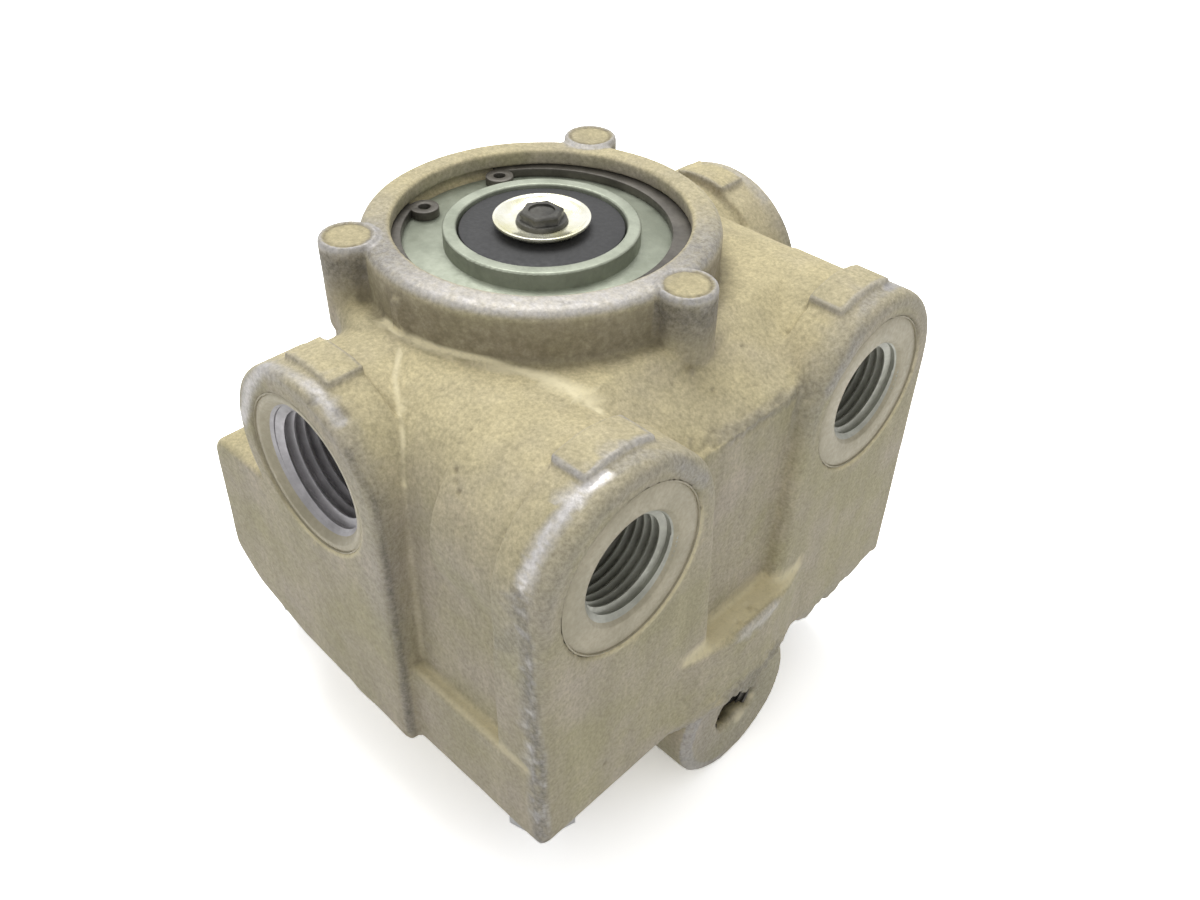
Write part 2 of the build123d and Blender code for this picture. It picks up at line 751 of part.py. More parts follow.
# Exhaust cover: valve guide below, spider and raised tube above
cover_r = exhaust_bore_r - location_clearance
guide_groove_half = guide_ring_section_r + location_clearance
guide_groove_r = guide_bore_r + 2 * guide_ring_section_r + ring_clearance
outer_groove_half = outer_ring_section_r + location_clearance
outer_groove_r = exhaust_bore_r - 2 * outer_ring_section_r - 2 * ring_clearance
seat_in_r = diaphragm_seat_r - diaphragm_seat_width / 2
seat_out_r = diaphragm_seat_r + diaphragm_seat_width / 2
hub_bore_r = diaphragm_screw_r + ring_clearance
with BuildPart() as exhaust_cover:
    with BuildSketch(Plane.XZ):
        with BuildLine():
            Polyline(
                (guide_bore_r, guide_bottom_z),
                (guide_r, guide_bottom_z),
                (guide_r, cover_seat_z),
                (cover_r, cover_seat_z),
                (cover_r, outer_ring_z - outer_groove_half),
                (outer_groove_r, outer_ring_z - outer_groove_half),
                (outer_groove_r, outer_ring_z + outer_groove_half),
                (cover_r, outer_ring_z + outer_groove_half),
                (cover_r, cover_flange_top_z),
                (tube_r, cover_flange_top_z),
                (tube_r, tube_top_z),
                (tube_bore_r, tube_top_z),
                (tube_bore_r, spider_top_z),
                (seat_out_r, spider_top_z),
                (seat_out_r, diaphragm_z),
                (seat_in_r, diaphragm_z),
                (seat_in_r, spider_top_z),
                (spider_hub_r, spider_top_z),
                (spider_hub_r, diaphragm_z),
                (hub_bore_r, diaphragm_z),
                (hub_bore_r, spider_low_z),
                (exhaust_throat_r, spider_low_z),
                (exhaust_throat_r, exhaust_throat_z),
                (guide_bore_r, exhaust_throat_z),
                (guide_bore_r, guide_ring_z + guide_groove_half),
                (guide_groove_r, guide_ring_z + guide_groove_half),
                (guide_groove_r, guide_ring_z - guide_groove_half),
                (guide_bore_r, guide_ring_z - guide_groove_half),
                close=True,
            )
        make_face()
    revolve(axis=Axis.Z)
    fillet(exhaust_cover.edges().group_by(Axis.Z)[-1], tube_lip_r)
    with BuildSketch(Plane.XY.offset(spider_low_z)):
        with PolarLocations(window_circle_r, window_count):
            Circle(window_r)
    extrude(amount=spider_top_z - spider_low_z, mode=Mode.SUBTRACT)
exhaust_cover.part.label = "exhaust_cover"
export_step(exhaust_cover.part, "parts/exhaust_cover.step")


# Retaining ring in its groove, open between two eyes
ring_reach_r = retaining_groove_r - location_clearance
gap_x = 2 * exhaust_bore_r * cos(radians(retaining_lug_angle))
gap_y = -gap_x * sin(radians(180 - retaining_lug_angle)) / cos(radians(180 - retaining_lug_angle))
with BuildPart() as retaining_ring:
    with BuildSketch(Plane.XY.offset(cover_flange_top_z)):
        Circle(ring_reach_r)
        with Locations((-retaining_shift, 0)):
            Circle(retaining_inner_r, mode=Mode.SUBTRACT)
        with BuildLine():
            Polyline((0, 0), (gap_x, gap_y), (gap_x, -gap_y), close=True)
        make_face(mode=Mode.SUBTRACT)
        for angle in (retaining_lug_angle, -retaining_lug_angle):
            with PolarLocations(retaining_lug_r, 1, start_angle=angle):
                Circle(retaining_eye_r)
                Circle(retaining_eye_hole_r, mode=Mode.SUBTRACT)
    extrude(amount=retaining_thickness)
retaining_ring.part.label = "retaining_ring"
export_step(retaining_ring.part, "parts/retaining_ring.step")


# Exhaust diaphragm, dished washer and flange screw
with BuildPart() as exhaust_diaphragm:
    with BuildSketch(Plane.XY.offset(diaphragm_z)):
        Circle(diaphragm_r)
        Circle(hub_bore_r, mode=Mode.SUBTRACT)
    extrude(amount=diaphragm_thickness)
exhaust_diaphragm.part.label = "exhaust_diaphragm"
export_step(exhaust_diaphragm.part, "parts/exhaust_diaphragm.step")

with BuildPart() as diaphragm_washer:
    with BuildSketch(Plane.XZ):
        with BuildLine():
            Line((hub_bore_r, dish_z), (dish_flat_r, dish_z))
            TangentArc((dish_flat_r, dish_z), (dish_r, dish_z + dish_rise), tangent=(1, 0))
            Line((dish_r, dish_z + dish_rise), (dish_r, dish_z + dish_rise + dish_thickness / 2))
            Line(
                (dish_r, dish_z + dish_rise + dish_thickness / 2),
                (dish_r - dish_thickness / 2, dish_z + dish_rise + dish_thickness / 2),
            )
            TangentArc(
                (dish_flat_r, dish_z + dish_thickness),
                (dish_r - dish_thickness / 2, dish_z + dish_rise + dish_thickness / 2),
                tangent=(1, 0),
            )
            Line((dish_flat_r, dish_z + dish_thickness), (hub_bore_r, dish_z + dish_thickness))
            Line((hub_bore_r, dish_z + dish_thickness), (hub_bore_r, dish_z))
        make_face()
    revolve(axis=Axis.Z)
diaphragm_washer.part.label = "diaphragm_washer"
export_step(diaphragm_washer.part, "parts/diaphragm_washer.step")

head_top_z = head_seat_z + diaphragm_flange_height + diaphragm_head_height
with BuildPart() as diaphragm_screw:
    with BuildSketch(Plane.XY.offset(diaphragm_screw_low_z)):
        Circle(diaphragm_screw_r)
    extrude(amount=head_seat_z - diaphragm_screw_low_z)
    with BuildSketch(Plane.XY.offset(head_seat_z)):
        Circle(diaphragm_flange_r)
    extrude(amount=diaphragm_flange_height, taper=diaphragm_flange_taper)
    with BuildSketch(Plane.XY.offset(head_seat_z + diaphragm_flange_height)):
        RegularPolygon(diaphragm_head_flats / 2, 6, major_radius=False)
    extrude(amount=diaphragm_head_height)
    chamfer(diaphragm_screw.faces().sort_by(Axis.Z)[-1].edges(), diaphragm_head_chamfer)
    with BuildSketch(Plane.XY.offset(head_top_z)):
        Circle(diaphragm_dimple_r)
    extrude(amount=-diaphragm_dimple_depth, mode=Mode.SUBTRACT)
diaphragm_screw.part.label = "diaphragm_screw"
export_step(diaphragm_screw.part, "parts/diaphragm_screw.step")
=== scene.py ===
import bpy
import math
import numpy as np
from mathutils import Matrix, Vector, noise


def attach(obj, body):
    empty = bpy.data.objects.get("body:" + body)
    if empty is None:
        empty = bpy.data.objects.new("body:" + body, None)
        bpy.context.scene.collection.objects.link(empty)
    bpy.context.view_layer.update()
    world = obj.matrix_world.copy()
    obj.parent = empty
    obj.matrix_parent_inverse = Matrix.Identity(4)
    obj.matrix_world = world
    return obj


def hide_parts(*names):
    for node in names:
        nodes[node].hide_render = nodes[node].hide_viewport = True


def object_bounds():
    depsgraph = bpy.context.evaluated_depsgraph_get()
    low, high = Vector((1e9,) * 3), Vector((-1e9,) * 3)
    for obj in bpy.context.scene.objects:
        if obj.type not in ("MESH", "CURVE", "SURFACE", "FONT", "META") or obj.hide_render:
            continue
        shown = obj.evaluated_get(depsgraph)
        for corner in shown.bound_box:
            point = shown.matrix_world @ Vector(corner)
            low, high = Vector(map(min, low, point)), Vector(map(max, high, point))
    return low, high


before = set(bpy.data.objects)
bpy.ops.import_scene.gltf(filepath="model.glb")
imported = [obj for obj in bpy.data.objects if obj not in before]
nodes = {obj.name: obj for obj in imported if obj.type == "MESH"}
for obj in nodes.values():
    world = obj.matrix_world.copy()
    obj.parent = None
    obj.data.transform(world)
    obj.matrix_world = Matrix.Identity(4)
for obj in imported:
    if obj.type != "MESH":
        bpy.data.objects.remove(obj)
cadBox = [list(corner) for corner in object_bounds()]
mm = 0.001


# small helpers used by every piece
def makeActive(piece):
    if bpy.context.mode != "OBJECT":
        bpy.ops.object.mode_set(mode="OBJECT")
    bpy.ops.object.select_all(action="DESELECT")
    piece.select_set(True)
    bpy.context.view_layer.objects.active = piece


def applyModifiers(piece):
    makeActive(piece)
    for modifier in list(piece.modifiers):
        bpy.ops.object.modifier_apply(modifier=modifier.name)


def cleanMesh(piece, distance=0.002 * mm, outward=False):
    makeActive(piece)
    bpy.ops.object.mode_set(mode="EDIT")
    bpy.ops.mesh.select_all(action="SELECT")
    bpy.ops.mesh.remove_doubles(threshold=distance)
    if outward:
        bpy.ops.mesh.normals_make_consistent(inside=False)
    bpy.ops.object.mode_set(mode="OBJECT")


def copyOfNode(nodeName, pieceName):
    piece = bpy.data.objects.new(pieceName, nodes[nodeName].data.copy())
    bpy.context.scene.collection.objects.link(piece)
    cleanMesh(piece)
    return piece


def smoothShade(piece, angle=35):
    makeActive(piece)
    bpy.ops.object.shade_smooth_by_angle(angle=math.radians(angle))


def readPoints(piece):
    flat = np.empty(len(piece.data.vertices) * 3)
    piece.data.vertices.foreach_get("co", flat)
    return flat.reshape(-1, 3)


def writePoints(piece, points):
    piece.data.vertices.foreach_set("co", points.ravel())
    piece.data.update()


def readNormals(piece):
    flat = np.empty(len(piece.data.vertices) * 3)
    piece.data.vertex_normals.foreach_get("vector", flat)
    return flat.reshape(-1, 3)


def paint(piece, name, values):
    layer = piece.data.attributes.new(name, "FLOAT", "POINT")
    layer.data.foreach_set("value", np.clip(values, 0, 1).astype(np.float32))


def ramp(values, low, high):
    t = np.clip((values - low) / (high - low), 0, 1)
    return t * t * (3 - 2 * t)


def wavy(values, scale, seed):
    return np.array([noise.noise(Vector((v * scale, seed, 0.0))) for v in values])


# shader node groups, each built once
def startGroup(name, inputs, outputs):
    group = bpy.data.node_groups.new(name, "ShaderNodeTree")
    for socketName, value in inputs:
        socket = group.interface.new_socket(socketName, in_out="INPUT", socket_type="NodeSocketFloat")
        socket.default_value = value
    for socketName in outputs:
        group.interface.new_socket(socketName, in_out="OUTPUT", socket_type="NodeSocketFloat")
    start = group.nodes.new("NodeGroupInput")
    end = group.nodes.new("NodeGroupOutput")
    return group, start, end


def addMath(tree, operation, first, second=None, clamp=False):
    node = tree.nodes.new("ShaderNodeMath")
    node.operation = operation
    node.use_clamp = clamp
    for index, value in enumerate((first, second)):
        if value is None:
            continue
        if isinstance(value, (int, float)):
            node.inputs[index].default_value = value
        else:
            tree.links.new(value, node.inputs[index])
    return node.outputs[0]


def addRange(tree, value, low, high, toLow=0.0, toHigh=1.0):
    node = tree.nodes.new("ShaderNodeMapRange")
    tree.links.new(value, node.inputs["Value"])
    for socketName, number in (("From Min", low), ("From Max", high), ("To Min", toLow), ("To Max", toHigh)):
        if isinstance(number, (int, float)):
            node.inputs[socketName].default_value = number
        else:
            tree.links.new(number, node.inputs[socketName])
    return node.outputs["Result"]


def addNoise(tree, scale, detail=3.0, roughness=0.55, stretch=None):
    place = tree.nodes.new("ShaderNodeTexCoord")
    source = place.outputs["Object"]
    if stretch:
        mapping = tree.nodes.new("ShaderNodeMapping")
        mapping.inputs["Scale"].default_value = stretch
        tree.links.new(source, mapping.inputs["Vector"])
        source = mapping.outputs["Vector"]
    node = tree.nodes.new("ShaderNodeTexNoise")
    node.inputs["Detail"].default_value = detail
    node.inputs["Roughness"].default_value = roughness
    if isinstance(scale, (int, float)):
        node.inputs["Scale"].default_value = scale
    else:
        tree.links.new(scale, node.inputs["Scale"])
    tree.links.new(source, node.inputs["Vector"])
    return node.outputs["Fac"]


def buildCastGrain():
    group, start, end = startGroup(
        "castGrain", [("Patch Scale", 60.0), ("Grain Scale", 1400.0)], ["Patches", "Grain", "Height"]
    )
    patches = addNoise(group, start.outputs["Patch Scale"], 4.0, 0.6)
    grain = addNoise(group, start.outputs["Grain Scale"], 3.0, 0.7)
    pits = addNoise(group, 520.0, 2.0, 0.5)
    group.links.new(addRange(group, patches, 0.35, 0.65), end.inputs["Patches"])
    group.links.new(addRange(group, grain, 0.3, 0.7), end.inputs["Grain"])
    height = addMath(group, "ADD", addMath(group, "MULTIPLY", grain, 0.6), addMath(group, "MULTIPLY", pits, 0.9))
    group.links.new(height, end.inputs["Height"])
    return group


# rubbed edges from pointiness, and a mask of the concave creases that the cast material darkens as painted shade
def buildEdgeWearAndCreaseShade():
    group, start, end = startGroup(
        "edgeWearAndCreaseShade", [("Low", 0.515), ("High", 0.57), ("Break Scale", 420.0), ("Break", 0.5)], ["Edge", "CreaseShade"]
    )
    geometry = group.nodes.new("ShaderNodeNewGeometry")
    pointiness = geometry.outputs["Pointiness"]
    broken = addNoise(group, start.outputs["Break Scale"], 4.0, 0.65)
    edge = addRange(group, pointiness, start.outputs["Low"], start.outputs["High"])
    eaten = addRange(group, broken, 0.42, 0.58)
    kept = addMath(group, "SUBTRACT", 1.0, addMath(group, "MULTIPLY", start.outputs["Break"], eaten))
    group.links.new(addMath(group, "MULTIPLY", edge, kept, True), end.inputs["Edge"])
    group.links.new(addRange(group, pointiness, 0.49, 0.44), end.inputs["CreaseShade"])
    return group


# dust settles on upward faces; the same mask also paints a lighter tone on the tops, a painted highlight where the
# light falls
def buildDustAndTopLight():
    group, start, end = startGroup("dustAndTopLight", [("Amount", 0.8), ("Scale", 90.0)], ["Mask"])
    geometry = group.nodes.new("ShaderNodeNewGeometry")
    split = group.nodes.new("ShaderNodeSeparateXYZ")
    group.links.new(geometry.outputs["Normal"], split.inputs[0])
    upward = addRange(group, split.outputs["Z"], -0.1, 0.95)
    cloudy = addRange(group, addNoise(group, start.outputs["Scale"], 4.0, 0.6), 0.3, 0.62, 0.55, 1.0)
    mask = addMath(group, "MULTIPLY", addMath(group, "MULTIPLY", upward, cloudy), start.outputs["Amount"], True)
    group.links.new(mask, end.inputs["Mask"])
    return group


castGrain = buildCastGrain()
edgeWearAndCreaseShade = buildEdgeWearAndCreaseShade()
dustAndTopLight = buildDustAndTopLight()
print("node groups made")


# materials
def startMaterial(name):
    material = bpy.data.materials.new(name)
    material.use_nodes = True
    tree = material.node_tree
    return material, tree, tree.nodes["Principled BSDF"]


def placeGroup(tree, group, values):
    node = tree.nodes.new("ShaderNodeGroup")
    node.node_tree = group
    for socketName, value in values.items():
        node.inputs[socketName].default_value = value
    return node


def addMix(tree, factor, first, second, blend="MIX"):
    node = tree.nodes.new("ShaderNodeMix")
    node.data_type = "RGBA"
    node.blend_type = blend
    if isinstance(factor, (int, float)):
        node.inputs["Factor"].default_value = factor
    else:
        tree.links.new(factor, node.inputs["Factor"])
    for socket, value in ((node.inputs[6], first), (node.inputs[7], second)):
        if isinstance(value, tuple):
            socket.default_value = (*value, 1)
        else:
            tree.links.new(value, socket)
    return node.outputs[2]


def addAttribute(tree, name):
    node = tree.nodes.new("ShaderNodeAttribute")
    node.attribute_name = name
    return node.outputs["Fac"]


def addBump(tree, shader, height, strength, distance):
    bump = tree.nodes.new("ShaderNodeBump")
    bump.inputs["Strength"].default_value = strength
    bump.inputs["Distance"].default_value = distance
    tree.links.new(height, bump.inputs["Height"])
    tree.links.new(bump.outputs["Normal"], shader.inputs["Normal"])


castFinish = {
    "sideOlive": (0.360, 0.330, 0.215),
    "sideGrey": (0.425, 0.378, 0.305),
    "paleDustAndTopLight": (0.560, 0.488, 0.290),
    "litLine": (0.800, 0.720, 0.480),
    "creaseShade": (0.170, 0.145, 0.085),
    "brown": (0.200, 0.172, 0.112),
    "darkMetal": (0.085, 0.080, 0.072),
    "paleMetal": (0.640, 0.615, 0.595),
}


def buildCastMaterial(name, finish):
    material, tree, shader = startMaterial(name)
    grain = placeGroup(tree, castGrain, {"Patch Scale": 70.0, "Grain Scale": 1700.0})
    wearAndCrease = placeGroup(tree, edgeWearAndCreaseShade, {"Low": 0.53, "High": 0.62, "Break Scale": 420.0, "Break": 0.85})
    dustAndLightMask = placeGroup(tree, dustAndTopLight, {"Amount": 1.0, "Scale": 75.0})
    bare = addAttribute(tree, "bare")
    silverAndSheen = addAttribute(tree, "silverAndSheen")
    lit = addAttribute(tree, "lit")
    dirtAndShade = addAttribute(tree, "dirtAndShade")
    worn = addAttribute(tree, "worn")
    fine = addNoise(tree, 1500.0, 4.0, 0.75)
    broken = addNoise(tree, 700.0, 4.0, 0.7)
    streaks = addRange(tree, addNoise(tree, 260.0, 3.0, 0.6, (1.0, 1.0, 0.16)), 0.3, 0.7, 0.90, 1.08)

    colour = addMix(tree, grain.outputs["Patches"], finish["sideGrey"], finish["sideOlive"])
    # pale dust on upward faces, which also stands as a painted highlight on the tops
    colour = addMix(tree, dustAndLightMask.outputs["Mask"], colour, finish["paleDustAndTopLight"])
    # painted shade darkening the concave creases
    dark = addMath(tree, "MULTIPLY", wearAndCrease.outputs["CreaseShade"], 0.45)
    colour = addMix(tree, dark, colour, finish["creaseShade"])
    speckle = addRange(tree, fine, 0.3, 0.7, 0.72, 1.24)
    shade = addMath(tree, "MULTIPLY", speckle, streaks)
    tint = tree.nodes.new("ShaderNodeCombineColor")
    for socketName in ("Red", "Green", "Blue"):
        tree.links.new(shade, tint.inputs[socketName])
    colour = addMix(tree, 1.0, colour, tint.outputs[0], "MULTIPLY")
    dirtAndShadeMask = addMath(tree, "MULTIPLY", dirtAndShade, addRange(tree, broken, 0.35, 0.65, 0.45, 1.0), True)
    # brown for dirt, and also for painted shade and shadow on the casting
    colour = addMix(tree, dirtAndShadeMask, colour, finish["brown"])
    litMask = addMath(tree, "MULTIPLY", lit, addRange(tree, broken, 0.3, 0.5, 0.6, 1.0), True)
    colour = addMix(tree, litMask, colour, finish["litLine"])

    spread = addMath(tree, "MULTIPLY", addMath(tree, "SUBTRACT", broken, 0.5), bare)
    patchy = addRange(tree, addMath(tree, "ADD", bare, spread), 0.05, 0.95)
    edge = addMath(tree, "MULTIPLY", wearAndCrease.outputs["Edge"], worn)
    mask = addMath(tree, "MAXIMUM", edge, patchy, True)
    # tone of the bare metal from dark to pale: real polish, and painted highlight and shade on the worn edges
    tone = addMath(tree, "ADD", addMath(tree, "MULTIPLY", silverAndSheen, 0.85), addRange(tree, fine, 0.3, 0.7, -0.16, 0.24), True)
    metal = addMix(tree, tone, finish["darkMetal"], finish["paleMetal"])
    colour = addMix(tree, mask, colour, metal)

    tree.links.new(colour, shader.inputs["Base Color"])
    shine = addMath(tree, "MULTIPLY", mask, silverAndSheen)
    tree.links.new(addMath(tree, "MULTIPLY", shine, 0.45), shader.inputs["Metallic"])
    tree.links.new(addRange(tree, shine, 0.0, 1.0, 0.72, 0.40), shader.inputs["Roughness"])
    shader.inputs["Specular IOR Level"].default_value = 0.3
    addBump(tree, shader, grain.outputs["Height"], 0.55, 0.24 * mm)
    return material


def buildTurnedMaterial(name, dull, bright, roughness, metallic, ringScale, stain=0.25):
    material, tree, shader = startMaterial(name)
    coarse = addRange(tree, addNoise(tree, 160.0, 4.0, 0.6), 0.35, 0.65)
    fine = addRange(tree, addNoise(tree, ringScale, 3.0, 0.6), 0.3, 0.7)
    wearAndCrease = placeGroup(tree, edgeWearAndCreaseShade, {"Low": 0.51, "High": 0.56, "Break Scale": 500.0, "Break": 0.5})
    colour = addMix(tree, coarse, dull, bright)
    colour = addMix(tree, addMath(tree, "MULTIPLY", wearAndCrease.outputs["Edge"], 0.5), colour, bright)
    colour = addMix(tree, addMath(tree, "MULTIPLY", fine, stain), colour, tuple(0.6 * c for c in dull))
    tree.links.new(colour, shader.inputs["Base Color"])
    tree.links.new(addRange(tree, fine, 0.0, 1.0, roughness - 0.08, roughness + 0.1), shader.inputs["Roughness"])
    shader.inputs["Metallic"].default_value = metallic
    addBump(tree, shader, fine, 0.25, 0.05 * mm)
    return material


def buildRubberMaterial(name, base, dustyAndLit):
    material, tree, shader = startMaterial(name)
    fine = addRange(tree, addNoise(tree, 1300.0, 3.0, 0.6), 0.3, 0.7)
    dustAndLightMask = placeGroup(tree, dustAndTopLight, {"Amount": 0.35, "Scale": 220.0})
    colour = addMix(tree, dustAndLightMask.outputs["Mask"], base, dustyAndLit)
    colour = addMix(tree, addMath(tree, "MULTIPLY", fine, 0.4), colour, dustyAndLit)
    tree.links.new(colour, shader.inputs["Base Color"])
    tree.links.new(addRange(tree, fine, 0.0, 1.0, 0.55, 0.75), shader.inputs["Roughness"])
    addBump(tree, shader, fine, 0.3, 0.06 * mm)
    return material


castAluminium = buildCastMaterial("castAluminium", castFinish)
zincCover = buildTurnedMaterial("zincCover", (0.29, 0.315, 0.245), (0.42, 0.45, 0.36), 0.45, 0.5, 900.0)
yellowZinc = buildTurnedMaterial("yellowZinc", (0.80, 0.77, 0.50), (0.97, 0.96, 0.87), 0.22, 0.75, 500.0, 0.12)
blackScrew = buildTurnedMaterial("blackScrew", (0.035, 0.034, 0.030), (0.11, 0.105, 0.09), 0.5, 0.5, 1200.0)
# steel darkened to stand as painted shade in the groove of the retaining ring and in the control bore
darkSteelAndShade = buildTurnedMaterial("darkSteelAndShade", (0.060, 0.055, 0.046), (0.15, 0.138, 0.118), 0.45, 0.5, 900.0)
supplyBore = buildTurnedMaterial("supplyBore", (0.28, 0.270, 0.275), (0.43, 0.415, 0.430), 0.38, 0.3, 1100.0)
deliveryBore = buildTurnedMaterial("deliveryBore", (0.29, 0.29, 0.245), (0.43, 0.43, 0.37), 0.38, 0.3, 1100.0)
spotMetal = buildTurnedMaterial("spotMetal", (0.32, 0.288, 0.200), (0.40, 0.358, 0.258), 0.55, 0.15, 1500.0)
innerMetal = buildTurnedMaterial("innerMetal", (0.42, 0.42, 0.41), (0.58, 0.58, 0.57), 0.4, 0.7, 800.0)
springSteel = buildTurnedMaterial("springSteel", (0.22, 0.22, 0.22), (0.38, 0.38, 0.38), 0.35, 0.8, 900.0)
discRubber = buildRubberMaterial("discRubber", (0.014, 0.014, 0.016), (0.052, 0.052, 0.052))
sealRubber = buildRubberMaterial("sealRubber", (0.012, 0.012, 0.012), (0.045, 0.045, 0.045))
print("materials made")


def dress(piece, material):
    piece.data.materials.clear()
    piece.data.materials.append(material)


# body casting: the CAD solid, remeshed so that every edge is soft, then battered
bodyCasting = {
    "voxel": 0.42 * mm,
    "softening": 2,
    "undulation": 0.14 * mm,
    "undulationSize": 7 * mm,
    "flatKept": 0.10,
    "paintedKept": 0.52,
    "hiddenKept": 0.03,
    "supplyPortZ": 68.9,
    "supplyFaceY": 48.4,
    "supplyBossRadius": 17.4,
    "deliveryFaceX": 47.3,
    "deliveryPortY": 28.1,
    "deliveryBossRadius": 17.6,
    "ringTop": 93.6,
    "postCircle": 30.0,
}

# places on the casting in millimetres: lit creases, painted highlights and shade on the arches, dents, scuffs and torn
# edges
creaseFromPadToBarrel = [
    (-3.4, -29.0, 85.2), (1.0, -29.6, 85.6), (7.7, -28.1, 85.2), (13.9, -25.4, 85.2),
    (19.6, -23.0, 85.2), (25.2, -21.0, 85.2), (29.8, -21.3, 85.2), (32.6, -20.4, 83.6),
]
valleyBySupplyBand = [
    (3.7, -31.7, 85.0), (7.0, -35.4, 83.6), (9.9, -37.2, 82.3), (14.4, -40.1, 79.3), (16.8, -42.4, 74.0),
]
lowerValley = [(16.8, -42.4, 74.0), (17.4, -43.6, 60.6), (17.6, -43.8, 39.7)]
shoulderEdge = [(42.4, -11.5, 77.6), (43.7, -2.6, 76.7), (44.1, 6.5, 76.5), (44.6, 12.5, 77.0)]
supplyArchBright = [
    (-15.9, -48.0, 70.8), (-11.6, -48.0, 79.0), (-6.3, -47.6, 84.8), (3.5, -46.4, 85.6),
    (9.2, -46.6, 83.2),
]
supplyArchDark = [(12.6, -47.8, 80.6), (16.6, -47.4, 73.4), (17.0, -47.4, 61.8), (17.0, -47.4, 44.3), (17.0, -47.6, 23.7)]
deliveryArchBright = [
    (42.9, -44.4, 75.1), (43.2, -42.9, 78.4), (43.4, -40.4, 81.4), (43.6, -37.6, 83.6), (44.0, -34.0, 85.3),
    (44.6, -31.4, 86.2),
]
deliveryArchDull = [(44.6, -31.4, 86.2), (45.0, -25.3, 86.0), (46.6, -20.3, 83.0), (46.9, -14.7, 76.8)]
cornerStreak = [
    (46.2, -45.9, 22.6), (45.9, -46.0, 33.0), (45.9, -45.9, 42.9), (44.9, -45.8, 51.2), (44.8, -45.8, 59.5),
    (44.5, -45.7, 67.2), (43.2, -45.2, 73.2),
]
cornerSpread = [(44.0, -45.7, 68.0), (41.5, -45.7, 64.8), (39.5, -45.7, 62.0)]
scuffs = [
    ((41.6, -37.4, 84.0), 0.8), ((42.6, -36.9, 84.2), 1.0), ((43.7, -36.7, 84.3), 0.9),
    ((44.9, -36.4, 84.4), 0.7), ((43.0, -38.4, 83.2), 0.6),
]
dents = [
    ((5.5, -47.9, 85.2), 1.0, 0.30), ((9.1, -45.4, 83.7), 1.3, 0.40), ((25.2, -39.9, 80.4), 0.7, 0.35),
    ((27.3, -41.3, 78.8), 0.7, 0.35), ((26.2, -40.6, 79.6), 0.6, 0.25), ((28.8, -23.6, 85.2), 0.5, 0.25),
    ((34.3, -7.3, 82.5), 0.5, 0.25), ((37.8, -2.0, 80.4), 0.5, 0.3), ((23.2, -35.4, 83.5), 0.45, 0.25),
    ((46.8, 1.7, 38.3), 0.7, 0.4), ((47.7, -2.3, 38.3), 0.6, 0.4), ((35.0, 8.0, 82.0), 0.5, 0.25),
    ((20.9, -15.2, 93.4), 0.8, 0.35), ((-8.0, -24.5, 93.5), 0.6, 0.3), ((47.3, -33.0, 30.0), 0.8, 0.2),
]
drips = [((34.4, -3.2, 82.6), 0.9, 0.7)]


def softenCast(piece, settings):
    remesh = piece.modifiers.new("skin", "REMESH")
    remesh.mode = "VOXEL"
    remesh.voxel_size = settings["voxel"]
    soften = piece.modifiers.new("soften", "SMOOTH")
    soften.factor = 0.5
    soften.iterations = settings["softening"]
    clouds = bpy.data.textures.new(piece.name + "Unevenness", "CLOUDS")
    clouds.noise_scale = settings["undulationSize"]
    uneven = piece.modifiers.new("uneven", "DISPLACE")
    uneven.texture = clouds
    uneven.texture_coords = "LOCAL"
    uneven.strength = settings["undulation"]
    uneven.mid_level = 0.5
    applyModifiers(piece)


def thinOut(piece, chosen, kept):
    makeActive(piece)
    bpy.ops.object.mode_set(mode="EDIT")
    bpy.ops.mesh.select_mode(type="VERT")
    bpy.ops.mesh.select_all(action="DESELECT")
    bpy.ops.object.mode_set(mode="OBJECT")
    piece.data.vertices.foreach_set("select", chosen)
    bpy.ops.object.mode_set(mode="EDIT")
    bpy.ops.mesh.decimate(ratio=kept)
    bpy.ops.object.mode_set(mode="OBJECT")


def keepInBox(piece):
    low, high = (np.array(corner) / mm for corner in cadBox)
    writePoints(piece, np.clip(readPoints(piece) / mm, low + 0.001, high - 0.001) * mm)


def distanceTo(points, path):
    nearest = np.full(len(points), 1e6)
    for first, second in zip(path, path[1:]):
        first = np.array(first)
        along = np.array(second) - first
        share = np.clip((points - first) @ along / (along @ along), 0, 1)
        nearest = np.minimum(nearest, np.linalg.norm(points - first - share[:, None] * along, axis=1))
    return nearest


def around(points, centre):
    return np.linalg.norm(points - np.array(centre), axis=1)


def lumpy(points, scale, seed):
    return np.array([noise.noise(Vector(point) * scale + Vector((seed, 0, 0))) for point in points])


def portFrames(settings):
    z = settings["supplyPortZ"]
    faceY, faceX, portY = settings["supplyFaceY"], settings["deliveryFaceX"], settings["deliveryPortY"]
    return [
        ((0, -faceY, z), (0, -1, 0), 13.2, 2.7), ((0, faceY, z), (0, 1, 0), 13.2, 2.7),
        ((faceX, -portY, z), (1, 0, 0), 13.5, 2.0), ((faceX, portY, z), (1, 0, 0), 13.5, 2.0),
    ]


